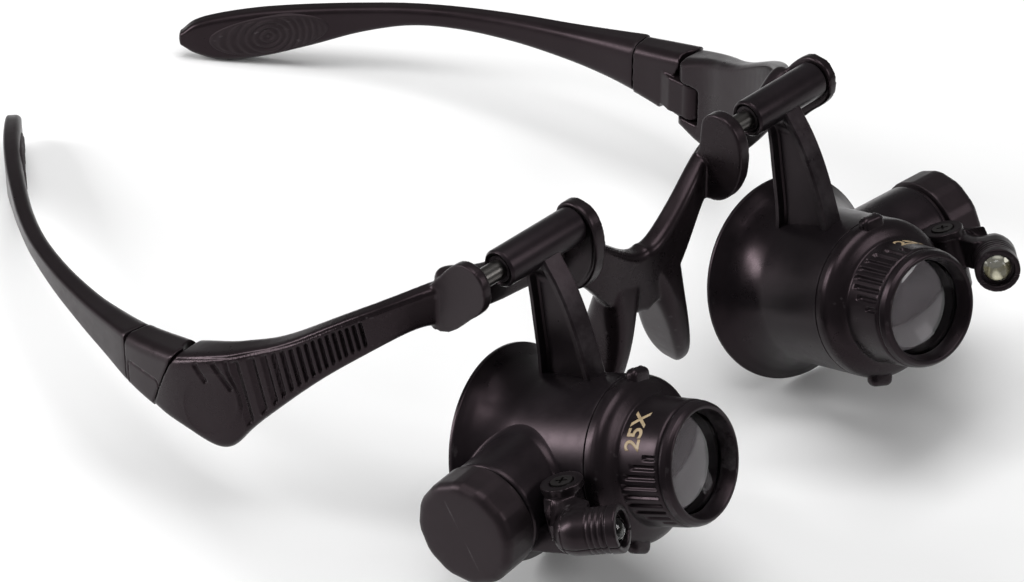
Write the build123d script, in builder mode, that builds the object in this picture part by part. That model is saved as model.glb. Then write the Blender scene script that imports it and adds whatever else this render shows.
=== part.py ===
from build123d import *
import os
from math import sin, cos, radians, hypot, atan2, degrees

os.makedirs("parts", exist_ok=True)

# Lighted magnifier glasses: a spectacle frame that carries two clip-on-rod
# loupes, each with an interchangeable lens unit, a coin-cell tube and a
# swivelling LED arm.  Millimetres, +Z up, wearer looks along -Y, wearer's
# right is -X.  The glasses stand on the rims of both eyecups and on the two
# temple tips, as in the picture.

# ---------------------------------------------------------------- dimensions
PITCH = 4.994           # nose-up lean of the front when it stands on a table
ROD_H = 59.29          # height of the rod axis above the table
Y_SHIFT = -50.21       # puts the middle of the overall depth at Y = 0

ROD_R = 1.8            # steel guide rods
ROD_X0, ROD_X1 = 19.2, 46.3
LUG_IN = (18.2, 20.4)  # inner lug, from X to X
LUG_OUT = (45.4, 47.4) # outer lug
BUSH_R = 2.45          # friction bush outer radius
BUSH_BORE = 1.85
SLEEVE_R = 3.5
SLEEVE_BORE = 2.5
SLEEVE_L = 19.0
SLEEVE_X = {"right": -30.3, "left": 35.6}   # middles of the two sleeves
ARM_IN = 0.4           # arm sits this much inboard of the sleeve's middle
LENS_OUT = 3.0         # lens axis outboard of the arm
ARM_W = 4.4            # arm width along the rod
ARM_WEB = 1.5
DROP = 39.2            # rod axis to lens axis
TILT = 19.5            # downward look of the lens axis
TOE = 8.6              # convergence of each lens axis

EYE_R = 19.6           # eyecup rim radius
EYE_S = -14.0          # rim station along the lens axis
BODY_R = 14.9
BODY_BORE = 13.3
SEAM_S = 12.0          # joint between the eyecup body and the lens mount
BARREL_R = 11.4
RING_R = 11.0
RING_S = 24.9
FRONT_S = 27.0
LENS_R = 9.4
TAB_AT = {"right": (72.0, 241.0), "left": (86.0, 255.0)}   # finger tabs, round the lens axis
KNURL_AT = {"right": 184.0, "left": 130.0}                 # middle of the first knurl patch

TUBE_S, TUBE_H = -2.5, 0.8     # coin-cell tube axis, off the lens axis
TUBE_OUT = 1.2                 # how much the tube stands further out
TUBE_R = 9.45
TUBE_END = 22.7
CAP_R = 9.85
CAP_A, CAP_B = 23.3, 30.9
CELL_R, CELL_T = 8.0, 2.0      # CR1620 size cells

PIV_A, PIV_S, PIV_TOP = 19.1, 11.1, 5.6   # LED arm pivot
PIV_R = 3.8
LED_F, LED_G, LED_H = 12.1, 8.3, -0.3     # LED front, off the pivot
LED_R = 4.2
PSI = {"right": 18.3, "left": 39.0}       # how far each LED arm is turned in

PIN_X, PIN_Y = 67.0, 46.5      # temple hinge pin
PIN_R = 0.9
SEAM_Y, SEAM_Z, SEAM_K = 48.4, -25.0, 0.44   # slanted seam front / hinge block

cp, sp = cos(radians(PITCH)), sin(radians(PITCH))


def P(x, y, z):
    """Point given off the rod axis, with the front upright, to its place."""
    return Vector(x, y * cp + z * sp + Y_SHIFT, z * cp - y * sp + ROD_H)


def D(x, y, z):
    return Vector(x, y * cp + z * sp, z * cp - y * sp)


UP = D(0, 0, 1)


def station(x, y, z, dx, dy):
    """Upright section plane: its X points outboard, its Y points up."""
    n = hypot(dx, dy)
    t = D(dx / n, dy / n, 0)
    return Plane(origin=P(x, y, z), x_dir=UP.cross(t) * -1, z_dir=t * -1)


def dome(edge, apex):
    """Arc from an edge point (station, radius) to the axis at station apex."""
    s0, r = edge
    d = apex - s0
    big = (r * r + d * d) / (2 * d)
    c = apex - big
    half = atan2(r, s0 - c) / 2 if d > 0 else atan2(r, c - s0) / 2
    mid = (c + big * cos(half), abs(big) * sin(half))
    return ThreePointArc(edge, mid, (apex, 0))


def save(p, name):
    p.part.label = name
    export_step(p.part, f"parts/{name}.step")


def tangents(pts):
    out = []
    for i in range(len(pts)):
        a = pts[max(i - 1, 0)]
        b = pts[min(i + 1, len(pts) - 1)]
        out.append((b[0] - a[0], b[1] - a[1]))
    return out


# --------------------------------------------------------------- front frame
# Brow bar from the outer lug back to the temple corner:
# outer top edge X, Y, top Z, bottom Z, thickness
BAR = [
    (46.4, 6.4, -3.4, -12.0, 3.6),
    (50.5, 9.4, -4.7, -12.1, 3.3),
    (55.2, 13.4, -6.9, -15.2, 3.3),
    (60.2, 19.6, -10.7, -20.8, 3.6),
    (64.4, 27.0, -15.8, -28.6, 4.4),
    (68.2, 35.0, -20.0, -38.4, 5.8),
    (70.2, 39.0, -21.6, -42.2, 6.8),
    (71.5, 43.0, -23.0, -41.7, 7.7),
    (72.6, 47.5, -24.6, -40.3, 8.5),
    (72.9, 52.5, -26.4, -39.3, 8.7),
    (72.7, 59.5, -28.4, -38.6, 8.6),
]
# Bar behind each sleeve, from the outer lug down to the bridge:
# X, Y, Z of the middle, height, thickness
BACK = [
    (47.0, 6.6, -6.1, 9.0, 3.4),
    (38.0, 6.4, -7.2, 8.4, 3.2),
    (28.0, 5.8, -8.1, 8.2, 3.2),
    (19.0, 4.5, -10.0, 8.6, 3.6),
    (14.0, 3.2, -13.2, 10.4, 3.8),
    (9.6, 2.4, -17.4, 13.0, 4.0),
    (5.0, 2.1, -21.0, 13.4, 4.2),
    (0.0, 2.0, -22.6, 14.0, 4.4),
]

with BuildPart() as front_frame:
    # brow bar
    tb = tangents(BAR)
    for (x, y, zt, zb, t), (dx, dy) in zip(BAR, tb):
        n = hypot(dx, dy)
        ox, oy = dy / n, -dx / n
        with BuildSketch(station(x - ox * t / 2, y - oy * t / 2, (zt + zb) / 2, dx, dy)):
            RectangleRounded(t, zt - zb, min(t, zt - zb) * 0.3)
    loft()
    # slanted rear end of the front
    with BuildSketch(Plane(origin=P(0, 0, 0), x_dir=D(0, 1, 0), z_dir=D(1, 0, 0))):
        with BuildLine():
            Polyline((SEAM_Y - 4, SEAM_Z + 4 / SEAM_K), (SEAM_Y + 0.44 * 30, SEAM_Z - 30),
                     (90, SEAM_Z - 30), (90, SEAM_Z + 4 / SEAM_K), close=True)
        make_face()
    extrude(amount=100, mode=Mode.SUBTRACT)
    # back bar
    for i, (x, y, z, h, t) in enumerate(BACK):
        a, b = BACK[max(i - 1, 0)], BACK[min(i + 1, len(BACK) - 1)]
        dx, dy = (b[0] - a[0], b[1] - a[1]) if x else (-1, 0)
        with BuildSketch(station(x, y, z, dx, dy)):
            RectangleRounded(t, h, t * 0.35)
    loft()
    # leaf shaped lugs, square to the rod
    with BuildSketch(Plane(origin=P(LUG_IN[0], 0, 0), x_dir=D(0, 1, 0), z_dir=D(1, 0, 0))):
        with BuildLine():
            Spline((0.2, 4.0), (-3.7, 2.3), (-5.4, -2.0), (-4.9, -8.0), (-1.4, -13.2),
                   (3.0, -14.0), (6.0, -10.0), (4.4, -3.4), (3.8, 2.0), periodic=True)
        make_face()
    extrude(amount=LUG_IN[1] - LUG_IN[0])
    with BuildSketch(Plane(origin=P(LUG_OUT[0], 0, 0), x_dir=D(0, 1, 0), z_dir=D(1, 0, 0))):
        with BuildLine():
            Spline((0.2, 4.0), (-3.2, 2.0), (-3.5, -2.8), (0.4, -7.4), (4.2, -11.2),
                   (9.0, -12.2), (10.9, -8.0), (7.4, -1.6), (3.4, 3.0), periodic=True)
        make_face()
    extrude(amount=LUG_OUT[1] - LUG_OUT[0])
    # nose fin and its root in the bridge
    for_fin = [(3.6, 2.6, -17.8, 5.6, 4.0), (5.0, 2.7, -20.8, 8.6, 5.2), (6.0, 2.9, -25.0, 8.4, 7.4),
               (7.1, 3.2, -30.6, 6.4, 9.6), (8.8, 3.6, -37.4, 4.8, 10.4),
               (10.7, 3.8, -43.6, 3.6, 8.4), (11.8, 3.8, -47.0, 1.8, 3.6)]
    for x, y, z, w, d in for_fin:
        with BuildSketch(Plane(origin=P(x, y, z), x_dir=(1, 0, 0), z_dir=D(0, 0, -1))):
            RectangleRounded(w, d, min(w, d) * 0.42)
    loft()
    mirror(about=Plane.YZ)
    # hinge slots and pin holes
    for sgn in (-1, 1):
        with BuildSketch(Plane(origin=P(0, 0, -29.3), x_dir=(1, 0, 0), z_dir=D(0, 0, 1))):
            with BuildLine():
                Polyline((sgn * 58, PIN_Y - 3.3), (sgn * (PIN_X + 0.9), PIN_Y - 3.3),
                         (sgn * (PIN_X + 3.5), PIN_Y - 0.9), (sgn * (PIN_X + 3.5), 66),
                         (sgn * 58, 66), close=True)
            make_face()
        extrude(amount=-8.3, mode=Mode.SUBTRACT)
        # inner rear corner rounded about the pin
        with BuildSketch(Plane(origin=P(0, 0, -15), x_dir=(1, 0, 0), z_dir=D(0, 0, 1))):
            with BuildLine():
                Polyline((sgn * 55, PIN_Y), (sgn * PIN_X, PIN_Y), (sgn * PIN_X, 75),
                         (sgn * 55, 75), close=True)
            make_face()
            with Locations((sgn * PIN_X, PIN_Y)):
                Circle(3.0, mode=Mode.SUBTRACT)
        extrude(amount=-40, mode=Mode.SUBTRACT)
        with BuildSketch(Plane(origin=P(sgn * PIN_X, PIN_Y, -26.6), x_dir=(1, 0, 0), z_dir=D(0, 0, -1))):
            Circle(PIN_R)
        extrude(amount=30, mode=Mode.SUBTRACT)
        # blind rod bores
        with BuildSketch(Plane(origin=P(sgn * ROD_X0, 0, 0), x_dir=D(0, 1, 0), z_dir=(sgn, 0, 0))):
            Circle(ROD_R)
        extrude(amount=ROD_X1 - ROD_X0, mode=Mode.SUBTRACT)
save(front_frame, "front_frame")

for side, o in (("right", -1), ("left", 1)):
    with BuildPart() as guide_rod:
        with BuildSketch(Plane(origin=P(o * ROD_X0, 0, 0), x_dir=D(0, 1, 0), z_dir=(o, 0, 0))):
            Circle(ROD_R)
        extrude(amount=ROD_X1 - ROD_X0)
    save(guide_rod, f"guide_rod_{side}")

    with BuildPart() as hinge_pin:
        with BuildSketch(Plane(origin=P(o * PIN_X, PIN_Y, -26.6), x_dir=(1, 0, 0), z_dir=D(0, 0, -1))):
            Circle(PIN_R)
        extrude(amount=13.4)
    save(hinge_pin, f"hinge_pin_{side}")

# ------------------------------------------------------------------- temples
# hinge block and temple: middle X, Y, top Z, bottom Z, thickness
BLOCK = [
    (69.2, 47.0, -24.2, -40.4, 7.6),
    (69.0, 52.0, -25.2, -39.7, 7.5),
    (68.8, 57.0, -26.2, -39.0, 7.2),
    (68.4, 61.6, -27.0, -38.4, 6.8),
]
TEMPLE = [
    (68.4, 61.75, -27.0, -38.4, 6.8),
    (67.1, 69.5, -28.2, -37.3, 5.6),
    (65.2, 78.5, -29.4, -36.5, 4.6),
    (62.0, 90.0, -30.4, -35.8, 3.9),
    (57.6, 101.5, -31.3, -35.6, 3.5),
    (52.6, 111.0, -32.0, -36.3, 3.3),
    (46.8, 119.8, -32.9, -38.9, 3.3),
    (40.5, 128.6, -34.0, -42.9, 3.4),
    (34.2, 136.6, -35.2, -46.0, 3.4),
    (28.6, 143.0, -36.7, -47.0, 3.3),
    (24.9, 147.0, -38.3, -45.6, 3.0),
    (22.9, 149.2, -40.6, -43.8, 2.2),
]
SIDE = BLOCK + TEMPLE[1:]
SIDE_T = tangents(SIDE)
BLOCK_T = SIDE_T[:len(BLOCK)]
TEMPLE_T = SIDE_T[len(BLOCK) - 1:]
PAD = [(46.8, 119.8, 3.3), (40.5, 128.6, 3.4), (34.2, 136.6, 3.4), (28.6, 143.0, 3.3), (25.2, 146.7, 3.0)]

for side, o in (("right", -1), ("left", 1)):
    with BuildPart() as hinge_block:
        for (x, y, zt, zb, t), (dx, dy) in zip(BLOCK, BLOCK_T):
            with BuildSketch(station(o * x, y, (zt + zb) / 2, o * dx, dy)):
                RectangleRounded(t, zt - zb, 2.2)
        loft()
        # slanted front face, a hair behind the seam
        with BuildSketch(Plane(origin=P(0, 0, 0), x_dir=D(0, 1, 0), z_dir=D(o, 0, 0))):
            with BuildLine():
                Polyline((SEAM_Y + 0.25 - 4, o * (SEAM_Z + 4 / SEAM_K)),
                         (SEAM_Y + 0.25 + 0.44 * 30, o * (SEAM_Z - 30)),
                         (20, o * (SEAM_Z - 30)), (20, o * (SEAM_Z + 4 / SEAM_K)), close=True)
            make_face()
        extrude(amount=100, mode=Mode.SUBTRACT)
        # hollow round the frame's knuckle
        with BuildSketch(Plane(origin=P(o * PIN_X, PIN_Y, -15), x_dir=(1, 0, 0), z_dir=D(0, 0, -1))):
            Circle(3.3)
        extrude(amount=40, mode=Mode.SUBTRACT)
        # tongue round the pin
        with BuildSketch(Plane(origin=P(0, 0, -29.6), x_dir=(1, 0, 0), z_dir=D(0, 0, 1))):
            with BuildLine():
                Polyline((o * (PIN_X - 2.6), PIN_Y), (o * (PIN_X + 2.6), PIN_Y),
                         (o * (PIN_X + 2.6), 56), (o * (PIN_X - 1.0), 56),
                         (o * (PIN_X - 2.6), 51), close=True)
            make_face()
            with Locations((o * PIN_X, PIN_Y)):
                Circle(2.75)
        extrude(amount=-7.7)
        with BuildSketch(Plane(origin=P(o * PIN_X, PIN_Y, -20), x_dir=(1, 0, 0), z_dir=D(0, 0, -1))):
            Circle(PIN_R + 0.05)
        extrude(amount=40, mode=Mode.SUBTRACT)
    save(hinge_block, f"hinge_block_{side}")

    with BuildPart() as ear_pad:
        # curved slab along the inner face of the tip
        for (x, y, t), (dx, dy) in zip(PAD, tangents(PAD)):
            n = hypot(dx, dy)
            nx, ny = -dy / n, dx / n
            s = t / 2 - 0.35
            with BuildSketch(station(o * (x - abs(nx) * s), y - abs(ny) * s * (1 if dx < 0 else -1) , -40.0, o * dx, dy)):
                Rectangle(1.5, 20)
        loft()
        with BuildSketch(Plane(origin=P(o * 20, 105, -40.4), x_dir=D(o * 0.62, -0.785, 0), z_dir=D(o * 0.785, 0.62, 0))):
            with Locations((-12.6, 0)):
                Ellipse(12.6, 4.5, rotation=0)
        extrude(amount=60, mode=Mode.INTERSECT)
    save(ear_pad, f"ear_pad_{side}")

    with BuildPart() as temple:
        for (x, y, zt, zb, t), (dx, dy) in zip(TEMPLE, TEMPLE_T):
            with BuildSketch(station(o * x, y, (zt + zb) / 2, o * dx, dy)):
                RectangleRounded(t, zt - zb, min(t, zt - zb) * 0.36)
        loft()
        add(ear_pad.part, mode=Mode.SUBTRACT)
    save(temple, f"temple_{side}")

# -------------------------------------------------------------------- loupes
for side, o in (("right", -1), ("left", 1)):
    xs = SLEEVE_X[side]
    xarm = xs - o * ARM_IN
    xlens = xarm + o * LENS_OUT
    th, ta = radians(TILT), radians(TOE) * -o
    u = D(sin(ta), -cos(th) * cos(ta), sin(th) * cos(ta))
    w = D(0, sin(th), cos(th))
    ex = w.cross(u)
    e = ex * o                       # outboard
    rod = P(xlens, 0, 0)
    A = rod - w * DROP               # foot of the arm on the lens axis

    def at(a, h, s):
        """a outboard, h up, s forward along the lens axis."""
        return A + e * a + w * h + u * s

    prof = Plane(origin=A, x_dir=u, z_dir=ex * -1)        # X = station, Y = radius
    axis = Axis(A, u)

    with BuildPart() as friction_bush:
        with BuildSketch(Plane(origin=P(xs - SLEEVE_L / 2 + 0.2, 0, 0), x_dir=D(0, 1, 0), z_dir=(1, 0, 0))):
            Circle(BUSH_R)
            Circle(BUSH_BORE, mode=Mode.SUBTRACT)
        extrude(amount=SLEEVE_L - 0.4)
    save(friction_bush, f"friction_bush_{side}")

    # sleeve with the waisted arm below it
    u0 = D(0, -cos(th), sin(th))
    with BuildPart() as loupe_arm:
        arm_pl = Plane(origin=P(xarm + ARM_W / 2, 0, 0), x_dir=u0, z_dir=(-1, 0, 0))
        with BuildSketch(arm_pl):
            with BuildLine():
                l1 = Spline((2.4, -0.6), (4.6, -6.0), (6.1, -13.0), (6.6, -20.0), (6.6, -27.0))
                l2 = Polyline((6.6, -27.0), (-7.4, -27.0))
                l3 = Spline((-7.4, -27.0), (-5.8, -22.0), (-4.0, -13.0), (-2.6, -5.0), (-2.2, -0.6))
                l4 = Line((-2.2, -0.6), (2.4, -0.6))
            make_face()
        extrude(amount=ARM_W)
        for k in (0, 1):
            pl = arm_pl.offset(0 if k == 0 else ARM_W - (ARM_W - ARM_WEB) / 2)
            with BuildSketch(pl):
                with BuildLine():
                    Spline((2.2, -4.6), (3.7, -8.0), (4.7, -14.0), (5.1, -20.0), (5.1, -27.0))
                    Polyline((5.1, -27.0), (-5.6, -27.0))
                    Spline((-5.6, -27.0), (-4.4, -22.0), (-2.7, -13.0), (-1.5, -4.6))
                    Line((-1.5, -4.6), (2.2, -4.6))
                make_face()
            extrude(amount=(ARM_W - ARM_WEB) / 2, mode=Mode.SUBTRACT)
        with BuildSketch(prof):
            with BuildLine():
                Polyline((20, 0), (20, BODY_R), (-2.0, BODY_R))
                Spline((-2.0, BODY_R), (-6.0, 15.4), (-9.6, 16.7), (-12.2, 18.7), (-12.9, EYE_R),
                       tangents=((-1, 0), (-0.25, 1)))
                Polyline((-12.9, EYE_R), (-20, EYE_R), (-20, 0), (20, 0))
            make_face()
        revolve(axis=axis, mode=Mode.SUBTRACT)
        with BuildSketch(Plane(origin=P(xs - SLEEVE_L / 2, 0, 0), x_dir=D(0, 1, 0), z_dir=(1, 0, 0))):
            Circle(SLEEVE_R)
        extrude(amount=SLEEVE_L)
        with BuildSketch(Plane(origin=P(xs - SLEEVE_L / 2, 0, 0), x_dir=D(0, 1, 0), z_dir=(1, 0, 0))):
            Circle(SLEEVE_BORE)
        extrude(amount=SLEEVE_L, mode=Mode.SUBTRACT)
        ends = loupe_arm.edges().filter_by(GeomType.CIRCLE).filter_by(lambda g: abs(g.radius - SLEEVE_R) < 0.01)
        chamfer(ends, 0.35)
    save(loupe_arm, f"loupe_arm_{side}")

    # eyecup body with the coin-cell tube and the LED arm lug
    tube = Plane(origin=at(TUBE_OUT, TUBE_H, TUBE_S), x_dir=u, z_dir=e)
    with BuildPart() as eyecup_body:
        with BuildSketch(prof):
            with BuildLine():
                p0 = Polyline((SEAM_S, 0), (SEAM_S, BODY_R), (-2.0, BODY_R))
                p1 = Spline((-2.0, BODY_R), (-6.0, 15.4), (-9.6, 16.7), (-12.2, 18.7), (-12.9, EYE_R),
                            tangents=((-1, 0), (-0.25, 1)))
                p2 = Polyline((-12.9, EYE_R), (EYE_S, EYE_R), (EYE_S, 0), (SEAM_S, 0))
            make_face()
        revolve(axis=axis)
        # tube
        with BuildSketch(tube.offset(7)):
            Circle(TUBE_R)
        extrude(amount=TUBE_END - 7)
        # lug under the LED arm
        lug = Plane(origin=at(0, -6.6, 0), x_dir=u, z_dir=w)
        # X = forward, Y = towards +X
        with BuildSketch(lug):
            with BuildLine():
                Polyline((0, o * 13.9), (0, o * 21.6), (PIV_S - 2.0, o * (PIV_A + 3.4)),
                         (PIV_S, o * PIV_A), (PIV_S - 1.0, o * (PIV_A - 3.7)), (6.0, o * 13.9), close=True)
            make_face()
            with Locations((PIV_S, o * PIV_A)):
                Circle(PIV_R)
        extrude(amount=4.4)
        # bore for the lens mount and the eye
        with BuildSketch(prof):
            with BuildLine():
                Polyline((SEAM_S, 0), (SEAM_S, BODY_BORE), (10.7, BODY_BORE), (10.7, 13.95), (8.9, 13.95),
                         (8.9, BODY_BORE), (-3.0, BODY_BORE))
                Spline((-3.0, BODY_BORE), (-6.5, 13.95), (-10.4, 15.5), (-12.8, 17.5), (EYE_S, 18.7),
                       tangents=((-1, 0), (-1, 1)))
                Polyline((EYE_S, 18.7), (EYE_S, 0), (SEAM_S, 0))
            make_face()
        revolve(axis=axis, mode=Mode.SUBTRACT)
        # bayonet entry slots
        with BuildSketch(Plane(origin=A + u * 10.7, x_dir=ex, z_dir=u)):
            with PolarLocations(13.6, 2, start_angle=90 + 30):
                Rectangle(0.8, 4.6)
        extrude(amount=1.4, mode=Mode.SUBTRACT)
        # coin-cell bore
        with BuildSketch(tube.offset(16.3)):
            Circle(8.25)
        extrude(amount=10, mode=Mode.SUBTRACT)
        with BuildSketch(tube.offset(19.9)):
            Circle(8.9)
        extrude(amount=10, mode=Mode.SUBTRACT)
        # screw hole in the lug
        with BuildSketch(Plane(origin=at(PIV_A, -6.0, PIV_S), x_dir=u, z_dir=w)):
            Circle(1.0)
        extrude(amount=8, mode=Mode.SUBTRACT)
    save(eyecup_body, f"eyecup_body_{side}")

    # coin-cell tube contents and cap
    with BuildPart() as tube_contact:
        with BuildSketch(tube.offset(16.3)):
            Circle(5.0)
        extrude(amount=0.3)
        with BuildSketch(tube.offset(16.6)):
            Circle(1.8)
        extrude(amount=0.4)
    save(tube_contact, f"tube_contact_{side}")

    with BuildPart() as coin_cells:
        for k in (0, 1):
            with BuildSketch(tube.offset(17.0 + k * (CELL_T + 0.05))):
                Circle(CELL_R)
            extrude(amount=CELL_T - 0.3)
            with BuildSketch(tube.offset(17.0 + k * (CELL_T + 0.05) + CELL_T - 0.3)):
                Circle(CELL_R - 0.9)
            extrude(amount=0.3)
    save(coin_cells, f"coin_cells_{side}")

    with BuildPart() as battery_cap:
        with BuildSketch(tube.offset(CAP_A)):
            Circle(CAP_R)
        extrude(amount=CAP_B - CAP_A)
        fillet(battery_cap.edges().sort_by(lambda g: (g.center() - tube.origin).dot(e))[-1], 1.6)
        with BuildSketch(tube.offset(20.3)):
            Circle(8.8)
        extrude(amount=CAP_A - 20.3)
        with BuildSketch(tube.offset(20.3)):
            Circle(8.3)
        extrude(amount=4.6, mode=Mode.SUBTRACT)
        with BuildSketch(tube.offset(24.9)):
            Circle(6.9)
        extrude(amount=3.4, mode=Mode.SUBTRACT)
    save(battery_cap, f"battery_cap_{side}")

    with BuildPart() as cap_contact:
        # spring plate: a disc with a dished middle that bears on the cells
        with BuildSketch(tube.offset(24.45)):
            Circle(7.6)
            Circle(5.2, mode=Mode.SUBTRACT)
        extrude(amount=0.4)
        with BuildSketch(Plane(origin=tube.origin, x_dir=e, z_dir=w)):
            with BuildLine():
                Polyline((24.45, 5.4), (24.45, 7.0), (24.85, 7.0), (24.85, 5.2), (21.9, 1.4), (21.5, 1.4),
                         (21.5, 1.8), close=True)
            make_face()
        revolve(axis=Axis(tube.origin, e))
        with BuildSketch(tube.offset(21.5)):
            Circle(1.6)
        extrude(amount=0.4)
    save(cap_contact, f"cap_contact_{side}")

    # ---------------------------------------------------------- lens unit
    with BuildPart() as lens_mount:
        with BuildSketch(prof):
            with BuildLine():
                Polyline((8.4, 11.6), (8.4, 13.2), (SEAM_S + 0.15, 13.2), (SEAM_S + 0.15, BODY_R),
                         (13.2, BODY_R))
                Spline((13.2, BODY_R), (14.8, 14.4), (15.9, 13.2), (16.4, BARREL_R), tangents=((1, 0), (0.4, -1)))
                Polyline((16.4, BARREL_R), (RING_S, BARREL_R - 0.35), (RING_S, 9.5), (12.6, 9.5), (12.6, 8.2),
                         (11.2, 8.2), (11.2, 11.6), (8.4, 11.6))
            make_face()
        revolve(axis=axis)
        # finger tabs, top and bottom
        with BuildSketch(Plane(origin=A + u * 12.7, x_dir=ex, z_dir=u)):
            for a in TAB_AT[side]:
                with PolarLocations(14.6, 1, start_angle=a):
                    RectangleRounded(3.4, 5.0, 0.9)
        extrude(amount=2.4)
        # bayonet lugs on the spigot
        with BuildSketch(Plane(origin=A + u * 9.1, x_dir=ex, z_dir=u)):
            with PolarLocations(13.4, 2, start_angle=90):
                Rectangle(0.7, 3.6)
        extrude(amount=1.4)
        # knurl: two patches of grip grooves
        with BuildSketch(Plane(origin=A + u * 17.2, x_dir=ex, z_dir=u)):
            for base in (KNURL_AT[side], KNURL_AT[side] + 180):
                with PolarLocations(BARREL_R + 0.15, 9, start_angle=base - 36, angular_range=72):
                    Circle(0.5)
        extrude(amount=7.0, mode=Mode.SUBTRACT)
    save(lens_mount, f"lens_mount_{side}")

    with BuildPart() as rear_lens:
        with BuildSketch(prof):
            with BuildLine():
                l1 = Line((12.6, 0), (12.6, LENS_R))
                l2 = Line((12.6, LENS_R), (14.2, LENS_R))
                l3 = dome((14.2, LENS_R), 16.4)
                l4 = Line((16.4, 0), (12.6, 0))
            make_face()
        revolve(axis=axis)
    save(rear_lens, f"rear_lens_{side}")

    with BuildPart() as lens_spacer:
        with BuildSketch(prof):
            Polygon((14.95, 8.5), (14.25, LENS_R), (21.85, LENS_R), (21.55, 8.5), align=None)
        revolve(axis=axis)
    save(lens_spacer, f"lens_spacer_{side}")

    with BuildPart() as front_lens:
        with BuildSketch(prof):
            with BuildLine():
                l1 = dome((21.9, LENS_R), 20.6)
                l2 = Line((20.6, 0), (25.2, 0))
                l3 = dome((23.6, LENS_R), 25.2)
                l4 = Line((23.6, LENS_R), (21.9, LENS_R))
            make_face()
        revolve(axis=axis)
    save(front_lens, f"front_lens_{side}")

    with BuildPart() as front_ring:
        with BuildSketch(prof):
            with BuildLine():
                Polyline((24.1, 8.8), (24.1, LENS_R), (RING_S, LENS_R), (RING_S, RING_R), (26.2, RING_R - 0.3))
                Spline((26.2, RING_R - 0.3), (26.85, RING_R - 0.65), (FRONT_S, RING_R - 1.2), tangents=((1, -0.25), (0, -1)))
                Polyline((FRONT_S, RING_R - 1.2), (FRONT_S, 9.3), (24.7, 8.8), (24.1, 8.8))
            make_face()
        revolve(axis=axis)
    save(front_ring, f"front_ring_{side}")

    # ------------------------------------------------------------- LED arm
    ps = radians(PSI[side])
    uu = u * cos(ps) - e * sin(ps)
    ee = e * cos(ps) + u * sin(ps)
    piv = at(PIV_A, 0, PIV_S)
    # plane square to the pivot: X = outboard of the arm, Y = +-forward
    def arm_plane(h):
        return Plane(origin=piv + w * h, x_dir=ee, z_dir=w)
    fy = uu.dot(w.cross(ee))         # sign of forward on that plane
    barrel = Plane(origin=piv + ee * LED_G + w * LED_H, x_dir=ee, z_dir=uu)
    SPLIT = -2.0

    with BuildPart() as led_arm_top:
        with BuildSketch(arm_plane(-2.0)):
            Circle(PIV_R)
        extrude(amount=PIV_TOP + 2.0)
        with BuildSketch(arm_plane(-2.0)):
            with BuildLine():
                Polyline((0.5, fy * -3.7), (LED_G - 1.0, fy * -1.4), (LED_G + 1.5, fy * 1.0),
                         (LED_G + 1.0, fy * 6.0), (LED_G - 3.4, fy * 6.0), (2.6, fy * 2.8), close=True)
            make_face()
        extrude(amount=5.8)
        with BuildSketch(barrel.offset(0.4)):
            Circle(LED_R)
        extrude(amount=LED_F - 0.4)
        # lower half belongs to the bottom shell
        with BuildSketch(arm_plane(SPLIT)):
            with Locations((LED_G - 1, fy * 8)):
                Rectangle(24, 34)
        extrude(amount=-6, mode=Mode.SUBTRACT)
        # cavity for the LED and its leads
        with BuildSketch(barrel.offset(LED_F - 3.2)):
            Circle(3.15)
        extrude(amount=4, mode=Mode.SUBTRACT)
        with BuildSketch(barrel.offset(1.8)):
            Circle(3.0)
        extrude(amount=LED_F - 3.2 - 1.8, mode=Mode.SUBTRACT)
        # screw hole and its counterbore
        with BuildSketch(arm_plane(-3.0)):
            Circle(1.1)
        extrude(amount=12, mode=Mode.SUBTRACT)
        with BuildSketch(arm_plane(PIV_TOP - 0.9)):
            Circle(2.15)
        extrude(amount=2, mode=Mode.SUBTRACT)
    save(led_arm_top, f"led_arm_top_{side}")

    with BuildPart() as led_arm_bottom:
        with BuildSketch(barrel.offset(0.4)):
            Circle(LED_R)
        extrude(amount=LED_F - 0.4)
        with BuildSketch(arm_plane(SPLIT)):
            with Locations((LED_G - 1, fy * 8)):
                Rectangle(24, 34)
        extrude(amount=12, mode=Mode.SUBTRACT)
        with BuildSketch(barrel.offset(LED_F - 3.2)):
            Circle(3.15)
        extrude(amount=4, mode=Mode.SUBTRACT)
        with BuildSketch(barrel.offset(1.8)):
            Circle(3.0)
        extrude(amount=LED_F - 3.2 - 1.8, mode=Mode.SUBTRACT)
    save(led_arm_bottom, f"led_arm_bottom_{side}")

    with BuildPart() as led:
        lp = Plane(origin=piv + ee * LED_G + w * LED_H, x_dir=uu, z_dir=ee)
        with BuildSketch(lp):
            with BuildLine():
                Polyline((LED_F - 5.2, 0), (LED_F - 5.2, 2.9), (LED_F - 4.2, 2.9), (LED_F - 4.2, 2.5),
                         (LED_F - 1.9, 2.5))
                dome((LED_F - 1.9, 2.5), LED_F + 0.3)
                Line((LED_F + 0.3, 0), (LED_F - 5.2, 0))
            make_face()
        revolve(axis=Axis(lp.origin, uu))
        with BuildSketch(barrel.offset(2.6)):
            with Locations((-1.27, 0), (1.27, 0)):
                Rectangle(0.5, 0.5)
        extrude(amount=LED_F - 5.2 - 2.6)
    save(led, f"led_{side}")

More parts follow.
